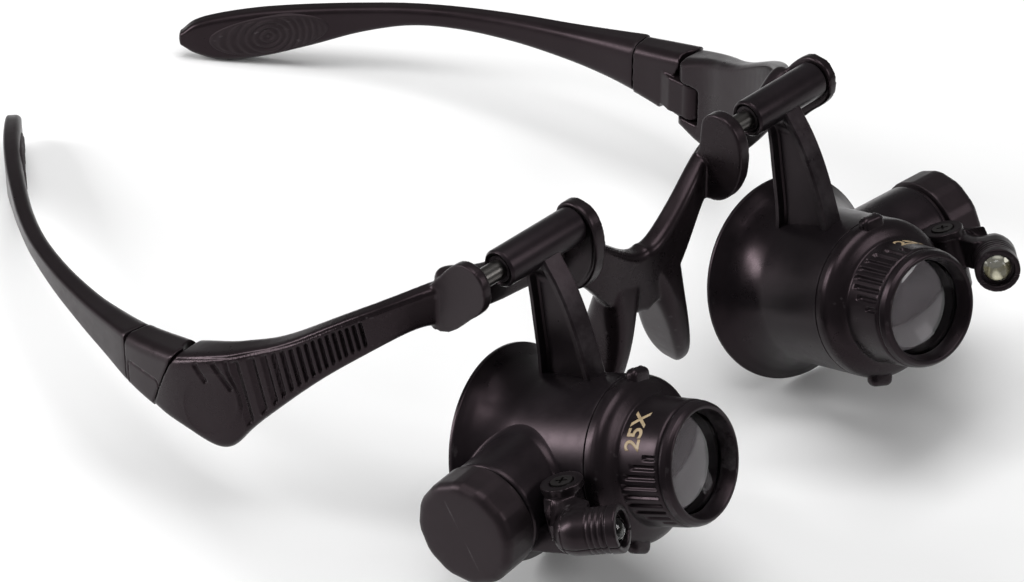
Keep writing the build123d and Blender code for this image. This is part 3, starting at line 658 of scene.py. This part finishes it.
def side_rings(o, lo, hi, grow=0.0):
    st = SIDES_[lo:hi + 1]
    tn = np.gradient(SIDES_[:, :2], axis=0)[lo:hi + 1]
    tn /= np.linalg.norm(tn, axis=1)[:, None]
    rings = []
    for (x, y, zt, zb, t), (dx, dy) in zip(st, tn):
        nx, ny = dy, -dx                                # outboard for the left side
        h = zt - zb
        m = min(t, h)
        sec = rrect(t + grow, h + grow, (0.16 * m, 0.40 * m, 0.42 * m, 0.34 * m), 6, 5)
        c = P(o * x, y, (zt + zb) / 2)
        ax = D(o * nx, ny, 0)
        rings.append(c + sec[:, :1] * ax + sec[:, 1:] * UPV)
    return np.array(rings)


def temple(side, o):
    i0 = 36
    rings = side_rings(o, i0, len(SIDES_) - 1)
    # round the very tip off
    tip = rings[-1]
    c = tip.mean(0)
    tdir = D(o * (SIDES_[-1, 0] - SIDES_[-2, 0]), SIDES_[-1, 1] - SIDES_[-2, 1], 0)
    tdir /= np.linalg.norm(tdir)
    more = [c + (tip - c) * cos(g) + tdir * 0.55 * sin(g) for g in (0.35, 0.7, 1.05, 1.3, 1.5)]
    # crisp front end
    r0 = rings[0]
    c0 = r0.mean(0)
    fd = rings[1].mean(0) - c0
    fd /= np.linalg.norm(fd)
    front = [c0 + (r0 - c0) * (1 - 0.06) + fd * 0.08, c0 + (r0 - c0) * (1 - 0.02) + fd * 0.16]
    rings = np.concatenate([[front[0]], [front[1]], rings[1:], more])
    ob = ring_loft(rings).obj(f"temple_arm_{side}")
    return done(ob, f"temple_{side}", [f"temple_{side}"], M_TEMPLE, 50)


PADC = (35.4, 135.0, -40.6)


def ear_pad(side, o):
    """Oval pad on the inner face: a raised edge, then rings of ribs that come to a point towards the tip."""
    st = SIDES_
    L = np.concatenate([[0], np.cumsum(np.hypot(np.diff(st[:, 0]), np.diff(st[:, 1])))])
    ic = np.hypot(st[:, 0] - PADC[0], st[:, 1] - PADC[1]).argmin()
    tn = np.gradient(st[:, :2], axis=0)
    tn /= np.linalg.norm(tn, axis=1)[:, None]
    A, B = 13.2, 4.7
    nr, na = 46, 150
    pts = []
    for i in range(nr):
        r = (i / (nr - 1))
        row = []
        for j in range(na):
            g = 2 * pi * j / na
            a, b = A * r * cos(g), B * r * sin(g)
            s = L[ic] + a
            x = np.interp(s, L, st[:, 0]); y = np.interp(s, L, st[:, 1])
            zt = np.interp(s, L, st[:, 2]); zb = np.interp(s, L, st[:, 3]); t = np.interp(s, L, st[:, 4])
            dx, dy = np.interp(s, L, tn[:, 0]), np.interp(s, L, tn[:, 1])
            n_ = hypot(dx, dy)
            nx, ny = dy / n_, -dx / n_
            # ribs: distance from the middle, squeezed lengthways and drawn out towards the tip
            aa = a / A
            rib = hypot(aa * (1.0 - 0.25 * max(aa, 0)), b / B * 0.42)
            wave = 0.5 + 0.5 * cos(2 * pi * rib * 9.5)
            edge = 1 - sstep(np.array(r), 0.93, 1.0)
            h = (0.34 + 0.26 * wave * (1 - sstep(np.array(r), 0.82, 0.9))) if r < 0.9 else 0.34
            h = float(h) * float(edge) - 0.25 * (1 - float(edge))
            zc = (zt + zb) / 2
            row.append(P(o * (x - nx * (t / 2 + h - 0.1)), y - ny * (t / 2 + h - 0.1), zc + b))
        pts.append(row)
    pts = np.array(pts)
    s = Shape().add(pts, grid_faces(nr, na))
    # closed behind by the same oval, sunk in the temple
    back = pts[-1].copy()
    inw = pts[-1].mean(0)
    st0 = D(o * tn[ic, 1], -tn[ic, 0], 0)
    s.add(np.stack([back, back + st0 * 0.8]), grid_faces(2, na))
    ob = s.obj(f"ear_pad_ribs_{side}", 1e-4)
    return done(ob, f"temple_{side}", [f"ear_pad_{side}"], M_RUBBER, 60)


def hinge_block(side, o):
    ob = cad_copy(f"hinge_block_{side}", f"hinge_knuckle_{side}")
    voxel(ob, 0.24, 2, 0.5)
    co, no = coords(ob), normals(ob)
    rod = to_rod(co)
    face = sstep(no[:, 0] * o, 0.6, 0.9)
    # latch outline on the outer face
    y, z = rod[:, 1], rod[:, 2]
    yc, zc = 56.8, -35.2
    dx, dz = (y - yc), (z - zc)
    d = np.abs(np.maximum(np.abs(dx) - 3.4, 0) ** 2 + np.maximum(np.abs(dz) - 2.2, 0) ** 2) ** 0.5
    line = np.clip(1 - np.abs(d - 1.0) / 0.26, 0, 1)
    co = co - no * (0.22 * line * face)[:, None]
    set_coords(ob, co)
    return done(ob, f"temple_{side}", [f"hinge_block_{side}"], M_TEMPLE, 50)


for side, o in SIDES:
    temple(side, o)
    ear_pad(side, o)
    hinge_block(side, o)


# ------------------------------------------------------------ loupes
BODY_R = 14.9
OUTER = [(12.0, 14.72), (11.88, 14.9), (11.2, 14.9)]


def flange(n=26):
    """Outer line of the eyecup from the body back to the rim."""
    key = np.array([(-2.0, 14.9), (-4.2, 15.02), (-6.4, 15.48), (-8.6, 16.25), (-10.6, 17.35), (-12.0, 18.5), (-12.75, 19.2), (-13.05, 19.52)])
    return cr(key, 6)


def body_radius(s):
    f = flange()
    return float(np.interp(-s, -f[:, 0], f[:, 1])) if s < -2 else BODY_R


def eyecup(L):
    side, o = L.side, L.o
    prof = list(OUTER) + [(2.0, 14.9)] + [tuple(p) for p in flange()]
    prof += [(-13.35, 19.6), (-13.75, 19.58), (-14.0, 19.34), (-14.0, 18.9), (-13.8, 18.62)]
    inner = cr(np.array([(-13.6, 18.35), (-12.2, 17.0), (-10.4, 15.5), (-8.4, 14.5), (-6.4, 13.88), (-4.4, 13.45), (-3.0, 13.3)]), 5)
    prof += [tuple(p) for p in inner]
    prof += [(8.9, 13.3), (8.9, 13.9), (10.7, 13.9), (10.7, 13.32), (11.9, 13.32), (12.0, 13.5)]
    body = lathe(prof, L.A, L.u, L.ex, L.w, 200)
    ob = body.obj(f"eyecup_shell_{side}")
    done(ob, f"loupe_{side}", [f"eyecup_body_{side}"], M_LOUPE, 40)
    # battery tube, flared where it grows out of the body
    n = 150
    th = np.linspace(0, 2 * pi, n, endpoint=False)
    R = 9.45
    rings = []
    ss = -2.5 + R * np.cos(th)
    hh = 0.8 + R * np.sin(th)
    a0 = np.array([sqrt(max(body_radius(s) ** 2 - h * h, 1)) for s, h in zip(ss, hh)])
    flare = [(-2.4, 1.3), (-0.25, 1.3)] + [(1.3 * (1 - cos(g)), 1.3 * (1 - sin(g))) for g in np.linspace(0, pi / 2, 7)]
    for d, f in flare:
        s2 = -2.5 + (R + f) * np.cos(th)
        h2 = 0.8 + (R + f) * np.sin(th)
        aa = np.array([sqrt(max(body_radius(s) ** 2 - h * h, 1)) for s, h in zip(s2, h2)])
        rings.append(L.A + s2[:, None] * L.u + h2[:, None] * L.w + (aa + d - 0.1)[:, None] * L.e)
    T = L.tube

    def circ(r, a):
        return T + (r * np.cos(th))[:, None] * L.u + (r * np.sin(th))[:, None] * L.w + a * L.e
    base = a0 + 1.3
    for f in (0.3, 0.6):
        a = base + (21.6 - base) * f
        rings.append(T + (R * np.cos(th))[:, None] * L.u + (R * np.sin(th))[:, None] * L.w + a[:, None] * L.e)
    for r, a in ((R, 21.7), (R - 0.04, 22.2), (R - 0.2, 22.55), (R - 0.45, 22.7), (8.92, 22.7), (8.9, 22.5), (8.9, 19.9), (8.25, 19.85), (8.25, 16.4), (3.0, 16.3)):
        rings.append(circ(r, a))
    tb = ring_loft(rings)
    ob = tb.obj(f"battery_tube_{side}")
    done(ob, f"loupe_{side}", [], M_LOUPE, 40)
    # lug under the lamp arm, its edges rounded off
    s = Shape()
    lug = [(0.0, 13.2), (-1.0, 21.6), (9.1, 22.7), (12.6, 22.0), (14.6, 19.1), (13.4, 16.2), (8.6, 13.2)]
    lug = cr(np.array(lug), 6, True)
    s.join(prism(lug, L.A - L.w * 6.8, L.u, L.e, L.w, 4.75, 0.5))
    ob = s.obj(f"lamp_lug_{side}")
    done(ob, f"loupe_{side}", [], M_LOUPE, 40)


ARM_W = 4.4


def arm(L):
    side, o = L.side, L.o
    # rows: drop, front edge, rear edge of the H-section (mm in the plane of the arm)
    rows = np.array([(-0.4, 2.6, -2.3), (-3.0, 3.5, -2.45), (-6.0, 4.6, -2.75), (-9.5, 5.5, -3.3), (-13.0, 6.05, -3.95),
                     (-17.0, 6.4, -4.65), (-20.5, 6.55, -5.3), (-24.0, 6.6, -6.2), (-26.4, 6.6, -7.1)])
    rows = cr(rows, 5)
    hw, web = ARM_W / 2, 0.75
    rings = []
    for z, f, b in rows:
        k = sstep(np.array(-z), 2.6, 6.0)
        fl_f, fl_b = 1.35, 1.05
        pw = hw - (hw - web) * float(k)          # half width of the web
        sec = [(f, -hw + 0.35), (f, hw - 0.35), (f - 0.35, hw), (f - fl_f, hw), (f - fl_f - 0.35, pw + 0.25 * float(k)), (f - fl_f - 0.7, pw),
               (b + fl_b + 0.7, pw), (b + fl_b + 0.35, pw + 0.25 * float(k)), (b + fl_b, hw), (b + 0.3, hw), (b, hw - 0.3),
               (b, -hw + 0.3), (b + 0.3, -hw), (b + fl_b, -hw), (b + fl_b + 0.35, -pw - 0.25 * float(k)), (b + fl_b + 0.7, -pw),
               (f - fl_f - 0.7, -pw), (f - fl_f - 0.35, -pw - 0.25 * float(k)), (f - fl_f, -hw), (f - 0.35, -hw)]
        c = P(L.xarm, 0, 0)
        rings.append([c + L.u0 * x + V3(1, 0, 0) * y + L.w * z for x, y in sec])
    a = ring_loft(rings)
    ob = a.obj(f"loupe_arm_web_{side}")
    done(ob, f"loupe_{side}", [f"loupe_arm_{side}"], M_LOUPE, 35)
    # sleeve with chamfered mouths
    R, B, H = 3.5, 2.5, 9.5
    prof = fil([(-H, B + 0.45, 0.08), (-H, R - 0.35, 0.12), (-H + 0.45, R, 0.15), (H - 0.45, R, 0.15), (H, R - 0.35, 0.12), (H, B + 0.45, 0.08), (H - 0.6, B, 0.1), (-H + 0.6, B, 0.1)], 4)
    sl = lathe(prof, P(L.xs, 0, 0), V3(1, 0, 0), D(0, 1, 0), D(0, 0, 1), 96)
    ob = sl.obj(f"loupe_sleeve_{side}")
    done(ob, f"loupe_{side}", [], M_LOUPE, 40)


def mount(L):
    side, o = L.side, L.o
    # bezel, seam, shoulder and knurled barrel
    sh = cr(np.array([(13.4, 14.9), (14.3, 14.68), (15.0, 14.2), (15.6, 13.45), (16.0, 12.65), (16.3, 11.95), (16.6, 11.5)]), 5)
    prof = [(11.2, 11.6), (8.5, 11.6), (8.5, 13.1), (12.15, 13.1), (12.12, 14.72), (12.26, 14.9), (12.8, 14.9)]
    prof += [tuple(p) for p in sh]
    bar = [(16.8, 11.4), (16.95, 11.38)] + [(17.1 + 0.25 * i, 11.38 - 0.010 * i) for i in range(29)] + [(24.35, 11.06), (24.6, 10.95), (24.8, 10.75), (24.9, 10.5)]
    prof += bar
    prof += [(24.9, 9.5), (12.6, 9.5), (12.6, 8.2), (11.2, 8.2)]

    def knurl(S, R, T):
        on = (S > 16.8) & (S < 24.5) & (R > 10.9)
        for base in (radians(KNURL[side]), radians(KNURL[side]) + pi):
            for k in range(9):
                c = base + radians(-36 + 9 * k)
                d = np.abs((T - c + pi) % (2 * pi) - pi) * 11.3
                w = 0.5
                g = np.clip(1 - (d / w) ** 2, 0, 1)
                s0 = 17.0 + 4.0 * (abs(-36 + 9 * k) / 34) ** 2.5
                endf = np.clip((S - s0) / 0.5, 0, 1) * np.clip((24.3 - S) / 0.4, 0, 1)
                R = R - on * 0.55 * np.sqrt(g) * np.sqrt(np.clip(endf, 0, 1))
        return S, R
    ob = lathe(prof, L.A, L.u, L.ex, L.w, 480, knurl).obj(f"lens_barrel_{side}")
    done(ob, f"lens_{side}", [f"lens_mount_{side}"], M_MOUNT, 40)
    # finger tabs, turned from upright, with two dots on the upper one
    s = Shape()
    dots = Shape()
    for k, a in enumerate(radians(t) for t in TABS[side]):
        rd = L.ex * cos(a) + L.w * sin(a)
        tg = -L.ex * sin(a) + L.w * cos(a)
        outl = rrect(4.9, 3.4, 1.25, 6, 3)
        s.join(prism(outl, L.A + L.u * 12.75 + rd * 14.6, tg, rd, L.u, 2.35, 0.85, 5))
        if k == 0:
            for t in (-1.1, 1.1):
                c = L.A + L.u * 13.9 + rd * 16.22 + tg * t
                dots.join(lathe([(0.0, 0.42), (0.12, 0.38), (0.2, 0.25), (0.24, 0.0), (-0.2, 0.0), (-0.2, 0.42)], c, rd, L.u, tg, 16))
    ob = s.obj(f"finger_tabs_{side}")
    done(ob, f"lens_{side}", [], M_MOUNT, 40)
    ob = dots.obj(f"tab_dots_{side}")
    done(ob, f"lens_{side}", [], M_MOUNT, 40)
    # front ring
    prof = fil([(24.6, 8.8), (24.1, 8.8), (24.1, 9.38), (24.95, 9.4), (24.95, 10.86, 0.12), (25.4, 10.95, 0.1), (26.3, 10.68, 0.5), (27.0, 10.15, 0.5), (27.0, 9.5, 0.3), (25.7, 9.1, 0.1)], 5)
    ob = lathe(prof, L.A, L.u, L.ex, L.w, 200).obj(f"front_bezel_{side}")
    done(ob, f"lens_{side}", [f"front_ring_{side}"], M_MOUNT, 40)
    # lenses
    def cap_pts(edge_s, r, apex, k=22):
        d = apex - edge_s
        big = (r * r + d * d) / (2 * abs(d))
        c = apex - np.sign(d) * big
        half = atan2(r, abs(edge_s - c))
        return [(c + np.sign(d) * big * cos(half * (1 - j / k)), big * sin(half * (1 - j / k))) for j in range(k + 1)]
    a = cap_pts(23.6, 9.35, 25.2)
    b = cap_pts(21.9, 9.35, 20.6)
    ob = lathe(a + b[::-1], L.A, L.u, L.ex, L.w, 160, closed=False)
    ob = Shape().add(np.concatenate(ob.v), ob.f).obj(f"front_glass_{side}")
    done(ob, f"lens_{side}", [f"front_lens_{side}"], M_GLASS_PAINTED_SHADE, 30)
    a = cap_pts(14.2, 9.35, 16.4)
    ob = lathe(a[::-1] + [(14.2, 9.35), (12.65, 9.35), (12.65, 0.0)], L.A, L.u, L.ex, L.w, 160, closed=False).obj(f"rear_glass_{side}")
    done(ob, f"lens_{side}", [f"rear_lens_{side}"], M_GLASS_PAINTED_SHADE, 30)


def power_mark(L):
    """Magnification figure printed round the barrel."""
    cu = bpy.data.curves.new("figure", "FONT")
    cu.body = "25X"
    cu.size = 1.0
    cu.align_x, cu.align_y = "CENTER", "CENTER"
    cu.resolution_u = 6
    cu.extrude = 0.02
    cu.offset = 0.022
    t = bpy.data.objects.new("figure", cu)
    bpy.context.scene.collection.objects.link(t)
    bpy.context.view_layer.update()
    me = bpy.data.meshes.new_from_object(t.evaluated_get(bpy.context.evaluated_depsgraph_get()))
    bpy.data.objects.remove(t)
    bm = bmesh.new()
    bm.from_mesh(me)
    bmesh.ops.remove_doubles(bm, verts=bm.verts, dist=1e-5)
    bmesh.ops.triangulate(bm, faces=bm.faces)
    for _ in range(2):
        bmesh.ops.subdivide_edges(bm, edges=[e for e in bm.edges if e.calc_length() > 0.12], cuts=1)
        bmesh.ops.triangulate(bm, faces=bm.faces)
    bm.to_mesh(me)
    bm.free()
    co = np.zeros(len(me.vertices) * 3)
    me.vertices.foreach_get("co", co)
    co = co.reshape(-1, 3)
    ext = co.max(0) - co.min(0)
    co -= (co.max(0) + co.min(0)) / 2
    co[:, 0] *= 8.0 / ext[0]
    co[:, 1] *= 3.0 / ext[1]
    # tops of the figures towards the eyecup
    th = radians(MARK[L.side]) - co[:, 0] / 11.35
    s = 19.3 - co[:, 1]
    r = 11.384 - 0.04 * (s - 17.1) + np.where(co[:, 2] > 0, 0.04, -0.12)
    pts = L.A + s[:, None] * L.u + (r * np.cos(th))[:, None] * L.ex + (r * np.sin(th))[:, None] * L.w
    me.vertices.foreach_set("co", pts.reshape(-1))
    ob = link(me, f"power_figure_{L.side}")
    done(ob, f"lens_{L.side}", [], M_GOLD, 0)


def battery_cap(L):
    side = L.side
    T = L.tube
    R, Z0, Z1 = 9.85, 23.25, 30.9
    prof = [(20.4, 8.3), (20.4, 8.8), (23.4, 8.8), (23.5, 9.1), (23.5, 9.55), (23.62, 9.78), (23.85, 9.85)]
    prof += [(24.2 + 0.5 * i, 9.85) for i in range(10)]
    n = 9
    prof += [(29.1 + 1.75 * sin(g), 9.85 - 1.75 * (1 - cos(g))) for g in np.linspace(0.05, pi / 2, n)]
    prof += [(30.87, 7.6), (30.9, 6.0), (30.88, 3.0), (30.85, 0.0)]
    inner = [(28.3, 0.0), (28.3, 6.9), (24.9, 6.9), (24.9, 8.3)]

    def facets(S, R_, T_):
        # flats round the edge, their corners just touching the full radius
        on = np.clip((S - 23.6) / 0.5, 0, 1) * (R_ > 7.2) * (S > 23.2)
        k = 12
        ph = (T_ + 0.12) % (2 * pi / k) - pi / k
        flat = np.minimum(1.0, 0.985 / np.cos(ph))
        return S, R_ * (1 - on * (1 - flat))
    ob = lathe(prof + inner, T, L.e, L.u, L.w, 240, facets, closed=False)
    ob.f += []
    ob = ob.obj(f"battery_lid_{side}")
    done(ob, f"cap_{side}", [f"battery_cap_{side}"], M_CAP, 40)


def lamp(L):
    side, o = L.side, L.o
    fy = 1.0
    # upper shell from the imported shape, edges softened, grooves round the barrel
    for part, nm in (("led_arm_top", "lamp_shell_top"), ("led_arm_bottom", "lamp_shell_bottom")):
        ob = cad_copy(f"{part}_{side}", f"{nm}_{side}")
        voxel(ob, 0.18, 6, 0.5)
        co, no = coords(ob), normals(ob)
        rel = co - L.led0
        f = rel @ L.uu
        rad = rel - f[:, None] * L.uu
        r = np.linalg.norm(rad, axis=1)
        near = sstep(r, 3.6, 3.95) * (1 - sstep(r, 4.5, 4.8)) * (f > 2.0) * (f < 12.2)
        g = np.zeros(len(co))
        for c, w, d in ((9.9, 0.38, 0.42), (8.75, 0.34, 0.36), (7.75, 0.34, 0.34), (6.75, 0.32, 0.28)):
            g = np.maximum(g, d * np.clip(1 - ((f - c) / w) ** 2, 0, 1))
        # the barrel narrows a little behind the collar
        g = np.maximum(g, 0.16 * (1 - sstep(f, 9.4, 9.9)))
        co = co - (rad / (r[:, None] + 1e-9)) * (g * near)[:, None]
        # the rear end of the barrel tapers off into the elbow
        rel = co - L.led0
        f = rel @ L.uu
        rad = rel - f[:, None] * L.uu
        r = np.linalg.norm(rad, axis=1)
        x = np.clip((4.6 - f) / 4.6, 0, 1)
        k = (1 - np.sqrt(np.clip(1 - 0.86 * x * x, 0, 1))) * (1 - sstep(r, 4.5, 6.5)) * (f > -1)
        co = co - rad * k[:, None]
        # thin disc under the screw head, on a narrower neck
        rel = co - L.piv
        hgt = rel @ L.w
        flat = rel - hgt[:, None] * L.w
        r = np.linalg.norm(flat, axis=1)
        away = flat @ L.ee
        neck = (1 - sstep(hgt, 4.05, 4.45)) * sstep(hgt, -2.6, 0.4) * sstep(r, 2.6, 3.5) * (1 - sstep(r, 3.95, 4.3)) * (1 - sstep(away, 1.0, 2.8))
        co = co - (flat / (r[:, None] + 1e-9)) * (0.7 * neck)[:, None]
        set_coords(ob, co)
        done(ob, f"led_arm_{side}", [f"{part}_{side}"], M_LAMP, 40)
    # lamp: clear dome with its flange, silvered cup and two posts
    F = 12.1
    dome = [(F - 5.2, 0.0), (F - 5.2, 2.85), (F - 4.25, 2.85), (F - 4.2, 2.5), (F - 1.9, 2.5)]
    dome += [(F - 1.9 + 2.2 * sin(g), 2.5 * cos(g)) for g in np.linspace(0.12, pi / 2, 12)]
    ob = lathe(dome, L.led0, L.uu, L.ee, L.w, 72, closed=False).obj(f"lamp_dome_{side}")
    done(ob, f"led_arm_{side}", [f"led_{side}"], M_EPOXY, 40)
    cup = [(F - 4.6, 0.0), (F - 4.6, 1.5), (F - 3.0, 2.05), (F - 2.9, 1.95), (F - 4.2, 0.9), (F - 4.2, 0.0)]
    s = lathe(cup, L.led0, L.uu, L.ee, L.w, 40, closed=False)
    for x in (-1.1, 1.1):
        s.join(prism(rrect(0.5, 0.5, 0.1, 2, 1), L.led0 + L.ee * x + L.uu * (F - 5.0), L.ee, L.w, L.uu, 1.6))
    ob = s.obj(f"lamp_cup_{side}")
    done(ob, f"led_arm_{side}", [], M_CUP, 40)
    # liner ring between lamp and shell
    ring = fil([(F - 3.0, 2.62), (F - 3.0, 3.15), (F - 1.2, 3.15), (F - 1.2, 2.62)], 3)
    ob = lathe(ring, L.led0, L.uu, L.ee, L.w, 64).obj(f"lamp_liner_{side}")
    done(ob, f"led_arm_{side}", [], M_INSIDE, 40)


LOUPES = {}
for side, o in SIDES:
    L = LOUPES[side] = loupe_frame(side, o)
    eyecup(L)
    arm(L)
    mount(L)
    battery_cap(L)
    lamp(L)
power_mark(LOUPES["right"])
power_mark(LOUPES["left"])

# ------------------------------------------------------------ carried CAD nodes
KEEP = {"guide_rod": M_ROD, "hinge_pin": M_PIN, "friction_bush": M_INSIDE, "tube_contact": M_PLATE, "coin_cells": M_CELL,
        "cap_contact": M_PLATE, "lens_spacer": M_INSIDE, "pivot_screw": M_SCREW}
for key, mat in KEEP.items():
    for side, _ in SIDES:
        ob = NODES[f"{key}_{side}"]
        if len(ob.material_slots):
            for sl in ob.material_slots:
                sl.material = mat
        else:
            ob.data.materials.append(mat)

# ------------------------------------------------------------ floor, light, camera
fm, nt, b = new_mat("floor_card")
tcf = nd(nt, "ShaderNodeTexCoord")
fn = nd(nt, "ShaderNodeTexNoise", in_Scale=6.0, in_Detail=3.0)
nt.links.new(tcf.outputs["Object"], fn.inputs["Vector"])
fr = nd(nt, "ShaderNodeValToRGB")
fr.color_ramp.elements[0].color, fr.color_ramp.elements[1].color = (0.86, 0.86, 0.86, 1), (0.90, 0.90, 0.90, 1)
nt.links.new(fn.outputs["Fac"], fr.inputs["Fac"])
nt.links.new(fr.outputs["Color"], b.inputs["Base Color"])
b.inputs["Roughness"].default_value = 0.9
b.inputs["Specular IOR Level"].default_value = 0.1
bpy.ops.mesh.primitive_grid_add(x_subdivisions=8, y_subdivisions=8, size=6, location=(0, 0, -0.0002))
floor = bpy.context.object
floor.name = "floor"
floor.data.materials.append(fm)

w = bpy.data.worlds.new("studio")
bpy.context.scene.world = w
w.use_nodes = True
w.node_tree.nodes["Background"].inputs["Color"].default_value = (1, 1, 1, 1)
w.node_tree.nodes["Background"].inputs["Strength"].default_value = 0.17


def area(name, loc, target, sx, sy, power, col=(1, 1, 1)):
    li = bpy.data.lights.new(name, "AREA")
    li.shape, li.size, li.size_y = "RECTANGLE", sx, sy
    li.energy, li.color = power, col
    ob = bpy.data.objects.new(name, li)
    bpy.context.scene.collection.objects.link(ob)
    ob.location = loc
    d = Vector(target) - Vector(loc)
    ob.rotation_euler = d.to_track_quat("-Z", "Y").to_euler()
    return ob


# camera solved from the picture, in the rods' frame
az, el = radians(-47.0932), radians(34.6613)
cx_, cy_, dist, foc = -24.7399, -20.2566, 682.353, 3849.142
back = V3(sin(az) * cos(el), -cos(az) * cos(el), sin(el))
rgt = V3(cos(az), sin(az), 0)
upv = np.cross(back, rgt)
pos = rgt * cx_ + upv * cy_ + back * dist
cam = bpy.data.objects.new("camera", bpy.data.cameras.new("camera"))
bpy.context.scene.collection.objects.link(cam)
B3, R3, U3 = D(*back), D(*rgt), D(*upv)
P3 = P(*pos) * 0.001
cam.matrix_world = Matrix(((R3[0], U3[0], B3[0], P3[0]), (R3[1], U3[1], B3[1], P3[1]), (R3[2], U3[2], B3[2], P3[2]), (0, 0, 0, 1)))
cam.data.sensor_fit = "HORIZONTAL"
cam.data.sensor_width = 36.0
cam.data.lens = foc * 36.0 / 1024
cam.data.clip_start, cam.data.clip_end = 0.05, 20
bpy.context.scene.camera = cam

ctr = V3(0, -0.04, 0.03)


def place(r, u, b, dist_):
    v = R3 * r + U3 * u + B3 * b
    v = v / np.linalg.norm(v)
    return tuple(ctr + v * dist_)


area("key", place(-1.15, 0.42, 0.35, 0.9), ctr, 0.2, 0.5, 6.0)
area("fill", place(1.0, 0.35, 0.6, 1.0), ctr, 0.4, 0.4, 2.6)
area("top", (0.0, 0.05, 0.9), ctr, 0.8, 0.5, 6.4)

s = bpy.context.scene
s.view_settings.view_transform = "Standard"
s.view_settings.look = "None"
